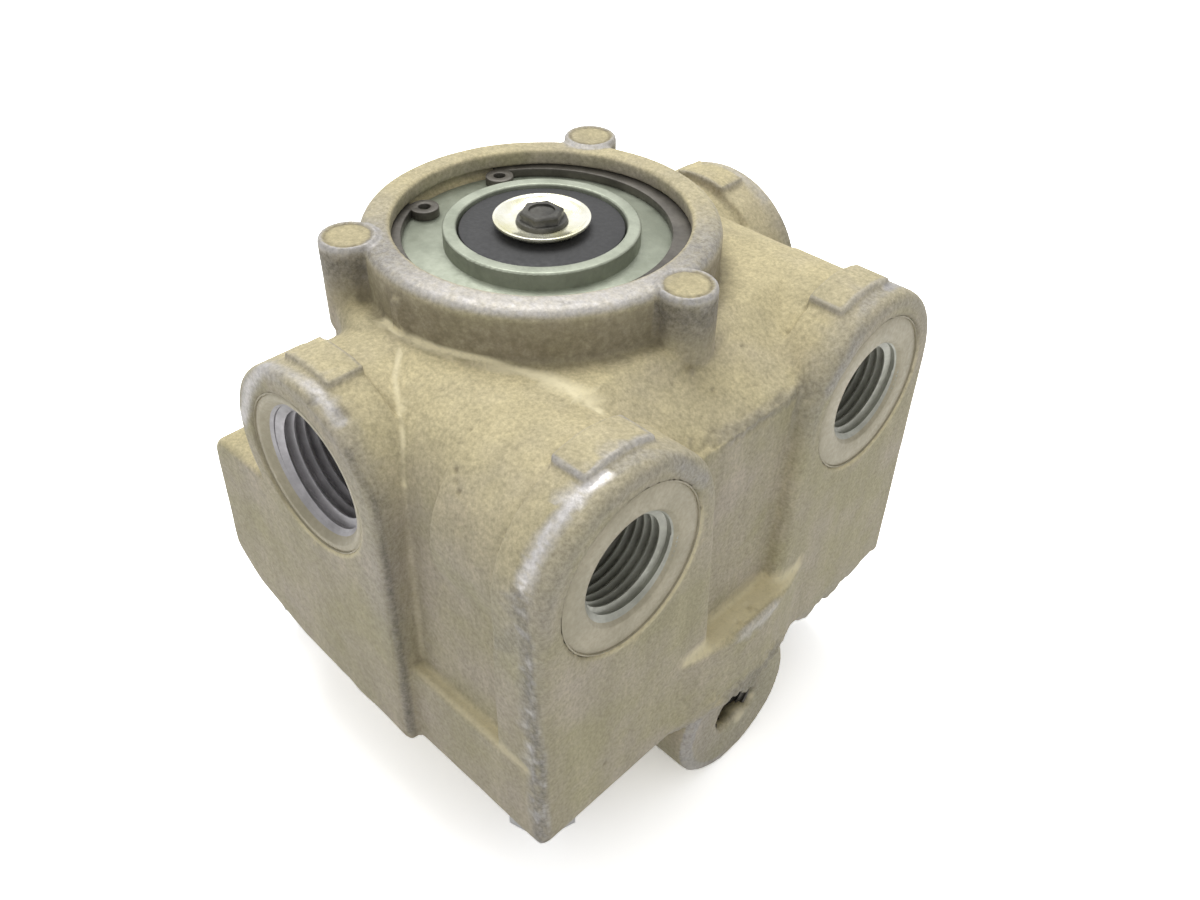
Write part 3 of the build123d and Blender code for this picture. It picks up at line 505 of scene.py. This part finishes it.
def batterBody(piece, settings):
    points = readPoints(piece) / mm
    normals = readNormals(piece)
    x, y, z = points.T
    for centre, reach, depth in dents:
        share = around(points, centre) / reach
        points -= normals * (depth * np.clip(1 - share ** 2, 0, 1))[:, None]
    for centre, reach, height in drips:
        share = around(points, centre) / reach
        points += normals * (height * np.clip(1 - share ** 2, 0, 1))[:, None]

    # rough shoulder between the delivery barrels
    near = 1 - ramp(distanceTo(points, shoulderEdge), 0.8, 2.6)
    chosen = near > 0
    rough = np.zeros(len(points))
    rough[chosen] = near[chosen] * (0.55 * lumpy(points[chosen], 0.75, 4.0) - 0.12)
    points += normals * rough[:, None]

    # lower edge under the right delivery port, run out below the joint, and the torn edge over the control boss
    atFront = ramp(x, 44.0, 45.4) * (1 - ramp(z, 21.6, 25.5))
    hump = np.exp(-((y - 22.0) / 2.6) ** 2) + np.exp(-((y - 30.5) / 2.4) ** 2)
    runOut = 1.5 * hump + 0.8 * ramp(y, 17, 21) * (1 - ramp(y, 37, 41)) + 0.7 * ramp(y, 16, 20) * wavy(y, 0.7, 5.5)
    overBoss = 1 - ramp(np.abs(y - 2.0), 9.0, 13.5)
    torn = overBoss * (0.9 * wavy(y, 0.9, 2.2) + 0.5 * wavy(y, 2.1, 3.1)) - 2.3 * np.exp(-((y - 1.5) / 2.4) ** 2)
    points[:, 2] += atFront * (torn - runOut)
    nearTear = (x > 44) & (z < 25) & (overBoss > 0)
    points[nearTear] += normals[nearTear] * (0.5 * overBoss[nearTear] * lumpy(points[nearTear], 0.8, 9.0))[:, None]

    # cut ring on top of each post
    for turn in (0, 120, 240):
        postX = settings["postCircle"] * math.cos(math.radians(turn))
        postY = settings["postCircle"] * math.sin(math.radians(turn))
        fromPost = np.hypot(points[:, 0] - postX, points[:, 1] - postY)
        points[:, 2] -= 0.3 * np.exp(-((fromPost - 3.6) / 0.32) ** 2) * (points[:, 2] > 93.2)

    # flat seats for the machined port faces
    for face, out, reach, sunk in portFrames(settings):
        offset = points - np.array(face)
        height = offset @ np.array(out)
        radial = np.linalg.norm(offset - height[:, None] * np.array(out), axis=1)
        inside = (height > -sunk) & (radial < reach)
        rim = (height > -0.3) & (radial >= reach) & (radial < reach + 0.3)
        points[inside] -= np.outer(height[inside] + sunk, out)
        points[rim] -= np.outer(height[rim] + 0.3, out)
    writePoints(piece, points * mm)


def hiddenPoints(points):
    x, y, z = points.T
    radius = np.hypot(x, y)
    return ((radius < 42.2) & (z < 59.0)) | ((radius < 23.9) & (z < 87.0)) | ((z < 21.4) & (radius < 44))


def bodyMarks(points, settings):
    x, y, z = points.T
    radius = np.hypot(x, y)
    towardsCamera = np.cos(np.arctan2(y, x) + math.radians(45))
    bare = np.zeros(len(points))
    silverAndSheen = np.full(len(points), 0.4)
    lit = np.zeros(len(points))
    dirtAndShade = np.zeros(len(points))

    # bare metal and its tone, which carries painted highlight and shade as well as wear
    def wearAndSheenOn(mask, amount, shine):
        strong = mask * amount > bare
        silverAndSheen[strong] = (mask * shine + (1 - mask) * silverAndSheen)[strong]
        np.maximum(bare, mask * amount, out=bare)

    # ring: top and the round of its outer edge, worn, with more bare metal and a painted sheen towards the camera; its
    # outer wall is darkened
    ringBand = ramp(z, 91.9, 92.8) * ramp(radius, 23.5, 24.4) * (1 - ramp(radius, 27.9, 28.9))
    wearAndSheenOn(ringBand, 0.14 + 0.66 * ramp(towardsCamera, -0.5, 0.5), 0.36 + 0.44 * ramp(towardsCamera, 0.4, 1.0))
    ringWall = ramp(radius, 27.4, 28.0) * (1 - ramp(radius, 29.8, 31.2)) * (1 - ramp(z, 91.2, 92.4)) * ramp(z, 84.0, 86.0)
    dirtAndShade += 0.95 * ringWall

    # posts: bright rims round a dull flat with a dark outline, greyer sides
    for turn in (0, 120, 240):
        postX = settings["postCircle"] * math.cos(math.radians(turn))
        postY = settings["postCircle"] * math.sin(math.radians(turn))
        fromPost = np.hypot(x - postX, y - postY)
        onPost = 1 - ramp(fromPost, 5.0, 5.6)
        wearAndSheenOn(onPost * ramp(z, 92.6, 93.3) * ramp(fromPost, 3.7, 4.0), 0.85, 0.62)
        wearAndSheenOn(onPost * ramp(z, 84.5, 91.0) * ramp(fromPost, 4.0, 4.4) * (1 - ramp(z, 92.4, 93.2)), 0.60, 0.12)
        flat = (1 - ramp(fromPost, 3.3, 3.7)) * ramp(z, 93.0, 93.6)
        bare *= 1 - 0.9 * flat
        dirtAndShade += 1.3 * onPost * ramp(z, 93.0, 93.5) * np.exp(-((fromPost - 3.6) / 0.3) ** 2)
        dirtAndShade += 0.5 * onPost * ramp(z, 84.0, 88.0) * (1 - ramp(z, 91.8, 92.8)) + 0.28 * flat

    # supply arches, the front one worn, with a painted highlight along the top and painted shade down its right edge
    for side in (-1, 1):
        mirrored = points * np.array([1, -side, 1])
        depth = settings["supplyFaceY"] - side * y
        high = np.hypot(x, np.maximum(z - settings["supplyPortZ"], 0))
        turn = np.degrees(np.arctan2(z - settings["supplyPortZ"], x))
        onArch = ramp(high, 14.4, 16.2) * (1 - ramp(depth, 2.6, 4.6)) * ramp(turn, 0, 25) * (1 - ramp(turn, 160, 180))
        wearAndSheenOn(onArch, 0.34, 0.36)
        wearAndSheenOn(1 - ramp(distanceTo(mirrored, supplyArchBright), 0.5, 2.1), 0.88 if side < 0 else 0.6, 0.70)
        wearAndSheenOn(1 - ramp(distanceTo(mirrored, supplyArchDark), 0.3, 1.3), 0.55, 0.10)
        face = (1 - ramp(depth, 0.5, 1.2)) * ramp(x, 6, 16) * ramp(z, 30, 60)
        wearAndSheenOn(face, 0.30, 0.36)
        pad = (1 - ramp(np.abs(x), 5.5, 5.8)) * ramp(high, 17.5, 17.9) * (1 - ramp(depth, 9.6, 10.0)) * ramp(depth, 3.0, 3.4)
        padEdge = np.maximum(np.maximum(ramp(np.abs(x), 4.7, 5.1), 1 - ramp(depth, 3.9, 4.3)), ramp(depth, 8.7, 9.1))
        wearAndSheenOn(pad * padEdge, 0.40, 0.45)

    # delivery arches: worn, with a painted highlight over the camera side, dull elsewhere
    for side in (-1, 1):
        mirrored = points * np.array([1, -side, 1])
        across = y - side * settings["deliveryPortY"]
        depth = settings["deliveryFaceX"] - x
        high = np.hypot(across, z - settings["supplyPortZ"])
        turn = np.degrees(np.arctan2(z - settings["supplyPortZ"], across))
        turn = np.where(turn < -90, turn + 360, turn)
        onArch = ramp(high, 14.4, 16.2) * (1 - ramp(depth, 3.0, 6.0)) * (1 - ramp(high, 18.2, 18.6)) * ramp(turn, -10, 30)
        wearAndSheenOn(onArch * (1 - ramp(turn, 160, 200)), 0.36, 0.34)
        bright = 1 - ramp(distanceTo(mirrored, deliveryArchBright), 0.4, 1.7)
        wearAndSheenOn(bright, 0.95, 1.0 if side < 0 else 0.55)
        wearAndSheenOn(1 - ramp(distanceTo(mirrored, deliveryArchDull), 0.6, 2.4), 0.62, 0.36)
        onPad = np.abs(across - 0.6 * (1 if side < 0 else -1))
        pad = ramp(high, 17.7, 18.1) * (1 - ramp(high, 19.4, 19.8)) * (1 - ramp(onPad, 6.9, 7.3))
        pad *= (1 - ramp(depth, 10.7, 11.1)) * ramp(depth, 3.2, 3.6) * ramp(z, 80, 82)
        padEdge = np.maximum(ramp(onPad, 5.7, 6.2), np.maximum(1 - ramp(depth, 4.2, 4.7), 0.5 * ramp(depth, 9.6, 10.1)))
        wearAndSheenOn(pad * padEdge, 0.75 if side < 0 else 0.5, 0.66)
        wearAndSheenOn(pad * (1 - padEdge), 0.12, 0.4)

    # front corner: dark mottled streak with silver in it, spreading on to the side
    streak = distanceTo(points, cornerStreak)
    mottled = np.zeros(len(points))
    mottled[streak < 3] = lumpy(points[streak < 3], 0.9, 7.0)
    wearAndSheenOn((1 - ramp(streak, 0.7, 2.4)) * (0.75 + 0.5 * mottled), 0.86, np.clip(0.03 + 1.1 * mottled, 0, 0.8))
    wearAndSheenOn(1 - ramp(distanceTo(points, cornerSpread), 0.8, 3.4), 0.40, 0.22)
    wearAndSheenOn(ramp(x, 30, 43) * (1 - ramp(y, -45.4, -44.2)) * ramp(z, 40, 62), 0.20, 0.40)
    wearAndSheenOn(1 - ramp(distanceTo(points * np.array([1, -1, 1]), cornerStreak), 0.7, 2.2), 0.5, 0.25)

    # shoulder, ledge and joint edges
    onShoulder = 1 - ramp(distanceTo(points, shoulderEdge), 0.5, 2.2)
    wearAndSheenOn(onShoulder * ramp(y, -9, -5), 0.36, 0.24)
    dirtAndShade += 0.35 * onShoulder
    ledge = ramp(x, 43.6, 44.6) * (1 - ramp(np.abs(y), 14.5, 17.0)) * ramp(z, 37.3, 38.0) * (1 - ramp(z, 39.4, 40.2))
    lit += 0.7 * ledge * (1 - ramp(x, 48.2, 49.0))
    lip = ramp(x, 48.4, 49.2) * ramp(z, 35.8, 36.8) * (1 - ramp(z, 38.0, 38.5)) * (1 - ramp(np.abs(y - 1.5), 4.0, 8.0))
    wearAndSheenOn(lip, 0.6, 0.7)
    overBoss = ramp(x, 45.0, 46.0) * (1 - ramp(z, 22.6, 26.0)) * (1 - ramp(np.abs(y - 3.0), 7.0, 11.0))
    wearAndSheenOn(overBoss, 0.5, 0.12)
    lit += 0.8 * (1 - ramp(around(points, (47.2, 2.6, 19.4)), 0.6, 1.8))
    jointEdge = ramp(x, 45.6, 46.6) * (1 - ramp(z, 21.6, 22.8))
    wearAndSheenOn(jointEdge, 0.35, 0.3)
    sideLedge = ramp(x, 17.5, 19.0) * (1 - ramp(x, 44, 45)) * ramp(np.abs(y), 43.6, 44.4) * ramp(z, 37.4, 38.0) * (1 - ramp(z, 38.9, 39.6))
    lit += 0.45 * sideLedge

    # outlines of the machined faces: painted shadow on the upper left, painted highlight along the lower right
    for face, out, reach, sunk in portFrames(settings):
        offset = points - np.array(face)
        height = offset @ np.array(out)
        radial = np.linalg.norm(offset - height[:, None] * np.array(out), axis=1)
        nearFace = np.exp(-((radial - reach - 0.25) / 0.35) ** 2) * (1 - ramp(np.abs(height), 0.8, 1.2))
        sideways = offset[:, 0] if out[0] == 0 else offset[:, 1]
        lowerRight = ramp(sideways * 0.6 - offset[:, 2] * 0.8, 0.1 * reach, 0.7 * reach)
        dirtAndShade += 0.7 * nearFace * (1 - lowerRight)
        lit += 0.75 * nearFace * lowerRight

    # lit creases and scuffs
    lit += 1.1 * (1 - ramp(distanceTo(points, creaseFromPadToBarrel), 0.25, 0.9))
    lit += 0.8 * (1 - ramp(distanceTo(points, valleyBySupplyBand), 0.1, 0.65))
    lit += 0.14 * (1 - ramp(distanceTo(points, lowerValley), 0.2, 0.8))
    for centre, reach in scuffs:
        wearAndSheenOn(1 - ramp(around(points, centre), 0.3 * reach, 1.3 * reach), 0.75, 1.0)
    for centre, reach, depth in dents:
        dirtAndShade += 0.8 * (1 - ramp(around(points, centre), 0.4 * reach, reach))
    for centre, reach, height in drips:
        dirtAndShade += 0.9 * (1 - ramp(around(points, centre), 0.6 * reach, 1.3 * reach))

    # darker low down on the housing and in the valley behind the supply leg
    dirtAndShade += 0.30 * (1 - ramp(np.abs(x - 17.6), 1.0, 3.0)) * ramp(-y, 40, 43) * (1 - ramp(z, 64, 72))
    dirtAndShade += 0.22 * (1 - ramp(z, 40, 66)) * ramp(np.abs(y), 40, 46)
    return bare, silverAndSheen, lit, dirtAndShade


def needsDetail(points, bare, lit, settings):
    chosen = (bare > 0.38) | (lit > 0.12) | (distanceTo(points, shoulderEdge) < 3.5) | (points[:, 2] > 93.0)
    chosen |= (points[:, 0] > 44) & (points[:, 2] < 25) & (np.abs(points[:, 1]) < 18)
    for face, out, reach, sunk in portFrames(settings):
        offset = points - np.array(face)
        height = offset @ np.array(out)
        radial = np.linalg.norm(offset - height[:, None] * np.array(out), axis=1)
        chosen |= (np.abs(height) < sunk + 0.4) & (radial < reach + 1.2) & (radial > reach - 1.6)
    return chosen & ~hiddenPoints(points)


castBody = copyOfNode("body", "castBody")
softenCast(castBody, bodyCasting)
batterBody(castBody, bodyCasting)
print("body remeshed", len(castBody.data.vertices))

thinOut(castBody, hiddenPoints(readPoints(castBody) / mm), bodyCasting["hiddenKept"])
points = readPoints(castBody) / mm
bare, silverAndSheen, lit, dirtAndShade = bodyMarks(points, bodyCasting)
painted = needsDetail(points, bare, lit, bodyCasting)
thinOut(castBody, ~painted & ~hiddenPoints(points), bodyCasting["flatKept"])
points = readPoints(castBody) / mm
bare, silverAndSheen, lit, dirtAndShade = bodyMarks(points, bodyCasting)
painted = needsDetail(points, bare, lit, bodyCasting)
thinOut(castBody, painted, bodyCasting["paintedKept"])
print("body thinned", len(castBody.data.polygons))

points = readPoints(castBody) / mm
bare, silverAndSheen, lit, dirtAndShade = bodyMarks(points, bodyCasting)
for attributeName, values in (("bare", bare), ("silverAndSheen", silverAndSheen), ("lit", lit), ("dirtAndShade", dirtAndShade)):
    paint(castBody, attributeName, values)
paint(castBody, "worn", 0.15 + 0.25 * ramp(points[:, 2], 66, 78))
keepInBox(castBody)
dress(castBody, castAluminium)
smoothShade(castBody, 60)
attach(castBody, "valve_body")
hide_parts("body")
print("body casting done")


# control cover casting
coverCasting = {
    "voxel": 0.5 * mm,
    "softening": 2,
    "undulation": 0.14 * mm,
    "undulationSize": 6 * mm,
    "flatKept": 0.15,
    "bossFaceX": 48.5,
    "bossRadius": 14.2,
    "boreZ": 14.3,
    "residue": [((47.8, 1.2, 9.2), 3.2, 1.9), ((47.6, -1.8, 9.8), 2.2, 1.0)],
}

castCover = copyOfNode("control_cover", "castCover")
softenCast(castCover, coverCasting)
points = readPoints(castCover) / mm
for centre, reach, height in coverCasting["residue"]:
    share = around(points, centre) / reach
    points[:, 2] += height * np.clip(1 - share ** 2, 0, 1)
writePoints(castCover, points * mm)
thinOut(castCover, points[:, 0] < 42, coverCasting["flatKept"])
points = readPoints(castCover) / mm
x, y, z = points.T
bossFace = ramp(x, coverCasting["bossFaceX"] - 1.3, coverCasting["bossFaceX"] - 0.9)
fromBore = np.hypot(y, z - coverCasting["boreZ"])
bossBevel = bossFace * ramp(fromBore, coverCasting["bossRadius"] - 2.6, coverCasting["bossRadius"] - 2.2)
paint(castCover, "bare", np.maximum(0.30 * bossFace, 0.75 * bossBevel * ramp(-y, -2, 4)))
paint(castCover, "silverAndSheen", 0.36 + 0.12 * bossBevel)
blobs = 1 - ramp(around(points, (47.9, 1.6, 10.0)), 0.8, 2.2)
paint(castCover, "lit", np.maximum(0.75 * blobs, 0.6 * (1 - ramp(around(points, (48.3, 4.8, 12.6)), 0.4, 1.3))))
# painted shadow round the top of the control bore
paint(castCover, "dirtAndShade", 0.9 * (1 - ramp(around(points, (47.8, 0.5, 16.5)), 3.5, 7.5)))
paint(castCover, "worn", np.full(len(points), 0.3))
keepInBox(castCover)
dress(castCover, castAluminium)
smoothShade(castCover, 60)
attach(castCover, "valve_body")
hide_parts("control_cover")
print("control cover done")


# port linings: spotface, mouth and thread turns, turned from a profile
ports = {
    "supplyLiningFront": {"face": (0, -48.4, 68.9), "out": (0, -1, 0), "spot": 13.0, "mouth": 11.9, "root": 10.5, "passage": 8.5, "pitch": 1.814, "turns": 8, "depth": 22.0, "metal": supplyBore},
    "supplyLiningRear": {"face": (0, 48.4, 68.9), "out": (0, 1, 0), "spot": 13.0, "mouth": 11.9, "root": 10.5, "passage": 8.5, "pitch": 1.814, "turns": 8, "depth": 22.0, "metal": supplyBore},
    "deliveryLiningFront": {"face": (47.3, -28.1, 68.9), "out": (1, 0, 0), "spot": 13.3, "mouth": 9.2, "root": 8.5, "passage": 7.3, "pitch": 1.411, "turns": 9, "depth": 18.0, "metal": deliveryBore},
    "deliveryLiningRear": {"face": (47.3, 28.1, 68.9), "out": (1, 0, 0), "spot": 13.3, "mouth": 9.2, "root": 8.5, "passage": 7.3, "pitch": 1.411, "turns": 9, "depth": 18.0, "metal": deliveryBore},
    "controlLining": {"face": (48.5, 0, 14.3), "out": (1, 0, 0), "spot": 0, "mouth": 5.6, "root": 5.05, "passage": 3.5, "pitch": 0.941, "turns": 8, "depth": 11.0, "metal": darkSteelAndShade},
}


def drawProfile(name, outline):
    bpy.ops.object.select_all(action="DESELECT")
    bpy.ops.mesh.primitive_plane_add(size=mm, location=(0, 0, 0))
    piece = bpy.context.active_object
    piece.name = name
    bpy.ops.object.mode_set(mode="EDIT")
    bpy.ops.mesh.select_all(action="SELECT")
    bpy.ops.mesh.merge(type="CENTER")
    bpy.ops.transform.translate(value=(outline[0][0] * mm, 0, outline[0][1] * mm))
    for before, after in zip(outline, outline[1:]):
        step = ((after[0] - before[0]) * mm, 0, (after[1] - before[1]) * mm)
        bpy.ops.mesh.extrude_vertices_move(TRANSFORM_OT_translate={"value": step})
    bpy.ops.object.mode_set(mode="OBJECT")
    return piece


def turnProfile(piece, steps=96, pitch=0.0, turns=1):
    screw = piece.modifiers.new("turn", "SCREW")
    screw.axis = "Z"
    screw.steps = steps
    screw.render_steps = steps
    screw.screw_offset = pitch * mm
    screw.iterations = turns
    screw.use_merge_vertices = pitch == 0.0
    screw.merge_threshold = 0.001 * mm
    applyModifiers(piece)
    cleanMesh(piece)


def joinPieces(first, second):
    makeActive(first)
    second.select_set(True)
    bpy.ops.object.join()


def threadLining(name, port):
    mouthDepth = 0.5 + port["mouth"] - port["root"]
    crest = port["root"] - 0.72 * port["pitch"]
    pitch = port["pitch"]
    threadLength = pitch * port["turns"]
    profile = [
        (port["root"] + 0.0, 0.0),
        (port["root"] + 0.0, 0.08 * pitch),
        (crest, 0.44 * pitch),
        (crest, 0.56 * pitch),
        (port["root"], 0.92 * pitch),
        (port["root"], pitch),
    ]
    threads = drawProfile(name, [(r, h - mouthDepth - threadLength - pitch * 0.5) for r, h in profile])
    turnProfile(threads, 72, pitch, port["turns"])
    cleanMesh(threads, 0.01 * mm)
    turned = readPoints(threads) / mm
    spread = np.hypot(turned[:, 0], turned[:, 1])
    cutBack = np.maximum(spread, port["root"] + turned[:, 2] + mouthDepth + 0.02)
    turned[:, :2] *= (cutBack / spread)[:, None]
    writePoints(threads, turned * mm)
    dress(threads, port["metal"])
    if port["spot"]:
        spot, mouth = port["spot"], port["mouth"]
        rim = [
            (spot + 0.3, -0.30), (spot + 0.05, -0.20), (spot, -0.50), (spot - 0.12, -0.42), (mouth + 0.15, -0.42),
            (mouth, -0.52), (0.3 * mouth + 0.7 * port["root"], -0.15 - 0.7 * mouthDepth),
        ]
        facing = drawProfile(name + "Facing", rim)
        turnProfile(facing, 96)
        dress(facing, spotMetal)
        joinPieces(threads, facing)
        outline = [rim[-1]]
    else:
        outline = [(port["mouth"], -0.5)]
    outline += [
        (port["root"], -mouthDepth),
        (port["root"] + 0.02, -mouthDepth - threadLength),
        (port["passage"], -mouthDepth - threadLength - 0.8),
        (port["passage"], -port["depth"]),
    ]
    sleeve = drawProfile(name + "Sleeve", outline)
    turnProfile(sleeve, 96)
    dress(sleeve, port["metal"])
    joinPieces(threads, sleeve)
    return threads


for portName, port in ports.items():
    lining = threadLining(portName, port)
    out = Vector(port["out"])
    turn = out.to_track_quat("Z", "Y").to_matrix().to_4x4()
    lining.data.transform(Matrix.Translation(Vector(port["face"]) * mm) @ turn)
    smoothShade(lining, 40)
    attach(lining, "valve_body")
print("port linings done")


# the pieces whose CAD shape is right: merged copies with broken edges
dressedNodes = {
    "exhaust_cover": {"piece": "turnedCover", "material": zincCover, "bevel": 0.12, "slot": "zinc_plate", "body": "valve_body"},
    "exhaust_diaphragm": {"piece": "rubberDisc", "material": discRubber, "bevel": 0.2, "slot": "black_rubber", "body": "valve_body"},
    "diaphragm_washer": {"piece": "dishedWasher", "material": yellowZinc, "bevel": 0.06, "slot": "yellow_zinc", "body": "valve_body"},
    "diaphragm_screw": {"piece": "flangeScrew", "material": blackScrew, "bevel": 0.1, "slot": "black_steel", "body": "valve_body"},
    "retaining_ring": {"piece": "snapRing", "material": darkSteelAndShade, "bevel": 0.12, "slot": "ring_steel", "body": "valve_body"},
    "cover_screws": {"piece": "hexScrews", "material": springSteel, "bevel": 0.1, "slot": "bare_steel", "body": "valve_body"},
    "cover_lock_washers": {"piece": "lockWashers", "material": springSteel, "bevel": 0.08, "slot": "bare_steel", "body": "valve_body"},
    "spring_seat_washer": {"piece": "seatWasher", "material": springSteel, "bevel": 0.08, "slot": "bare_steel", "body": "valve_body"},
    "piston": {"piece": "relayPiston", "material": innerMetal, "bevel": 0.12, "slot": "machined_aluminium", "body": "piston"},
    "valve_stem": {"piece": "valveTube", "material": springSteel, "bevel": 0.1, "slot": "bare_steel", "body": "inlet_valve"},
    "valve_retainer": {"piece": "rubberRetainer", "material": zincCover, "bevel": 0.08, "slot": "zinc_plate", "body": "inlet_valve"},
    "valve_rubber": {"piece": "valveFace", "material": sealRubber, "bevel": 0.1, "slot": "black_rubber", "body": "inlet_valve"},
}

for nodeName, settings in dressedNodes.items():
    piece = copyOfNode(nodeName, settings["piece"])
    bevel = piece.modifiers.new("brokenEdge", "BEVEL")
    bevel.width = settings["bevel"] * mm
    bevel.segments = 2
    bevel.limit_method = "ANGLE"
    bevel.angle_limit = math.radians(40)
    bevel.harden_normals = False
    applyModifiers(piece)
    keepInBox(piece)
    dress(piece, settings["material"])
    smoothShade(piece, 40)
    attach(piece, settings["body"])
    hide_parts(nodeName)

plainNodes = {
    "cover_seal": sealRubber,
    "piston_ring": sealRubber,
    "guide_inner_ring": sealRubber,
    "guide_outer_ring": sealRubber,
    "piston_spring": springSteel,
    "valve_spring": springSteel,
}
for nodeName, material in plainNodes.items():
    dress(nodes[nodeName], material)
print("fittings done")


# floor, light and camera
studio = {
    "floorTone": 0.80,
    "floorSeen": 1.9,
    "floorGlow": 0.16,
    "worldLevel": 0.56,
    "keyPower": 4.1,
    "fillPower": 0.9,
}

bpy.ops.object.select_all(action="DESELECT")
bpy.ops.mesh.primitive_plane_add(size=6.0, location=(0, 0, 0))
floor = bpy.context.active_object
floor.name = "floor"
floorMaterial, tree, shader = startMaterial("paleFloor")
floorTone = studio["floorTone"]
shader.inputs["Roughness"].default_value = 0.9
rays = tree.nodes.new("ShaderNodeLightPath")
seen = addMath(tree, "MAXIMUM", rays.outputs["Is Camera Ray"], rays.outputs["Is Glossy Ray"])
seen = addMath(tree, "MAXIMUM", seen, rays.outputs["Is Transmission Ray"])
shader.inputs["Emission Color"].default_value = (1, 1, 1, 1)
tree.links.new(addMath(tree, "MULTIPLY", seen, studio["floorGlow"]), shader.inputs["Emission Strength"])
seenTone = studio["floorSeen"]
tone = addMix(tree, seen, (floorTone, floorTone, floorTone), (seenTone, seenTone, seenTone))
tree.links.new(tone, shader.inputs["Base Color"])
dress(floor, floorMaterial)

world = bpy.data.worlds.new("softRoom")
bpy.context.scene.world = world
world.use_nodes = True
tree = world.node_tree
background = tree.nodes["Background"]
background.inputs["Color"].default_value = (1, 1, 1, 1)
rays = tree.nodes.new("ShaderNodeLightPath")
seen = addMath(tree, "MAXIMUM", rays.outputs["Is Camera Ray"], rays.outputs["Is Glossy Ray"])
seen = addMath(tree, "MAXIMUM", seen, rays.outputs["Is Transmission Ray"])
tree.links.new(addRange(tree, seen, 0.0, 1.0, studio["worldLevel"], 1.0), background.inputs["Strength"])


def addLamp(name, place, aim, size, power):
    lamp = bpy.data.lights.new(name, "AREA")
    lamp.shape = "SQUARE"
    lamp.size = size
    lamp.energy = power
    holder = bpy.data.objects.new(name, lamp)
    bpy.context.scene.collection.objects.link(holder)
    holder.location = place
    holder.rotation_mode = "QUATERNION"
    holder.rotation_quaternion = (Vector(aim) - Vector(place)).to_track_quat("-Z", "Y")


addLamp("keyLamp", (-0.25, 0.15, 0.75), (0, 0, 0.05), 0.5, studio["keyPower"])
addLamp("fillLamp", (0.5, -0.6, 0.5), (0, 0, 0.05), 0.7, studio["fillPower"])

viewpoint = {
    "place": (0.113356, -0.105330, 0.173964),
    "forward": (-0.52933, 0.55883, -0.63837),
    "roll": -0.0207,
    "lens": 32.594,
}
forward = Vector(viewpoint["forward"]).normalized()
level = forward.cross(Vector((0, 0, 1))).normalized()
downward = forward.cross(level)
roll = viewpoint["roll"]
right = math.cos(roll) * level + math.sin(roll) * downward
below = -math.sin(roll) * level + math.cos(roll) * downward
camera = bpy.data.cameras.new("camera")
camera.sensor_width = 36
camera.lens = viewpoint["lens"]
camera.clip_start = 0.01
holder = bpy.data.objects.new("camera", camera)
bpy.context.scene.collection.objects.link(holder)
facing = Matrix((right, -below, -forward)).transposed().to_4x4()
holder.matrix_world = Matrix.Translation(Vector(viewpoint["place"])) @ facing
bpy.context.scene.camera = holder
bpy.context.scene.view_settings.view_transform = "Standard"
print("studio done")
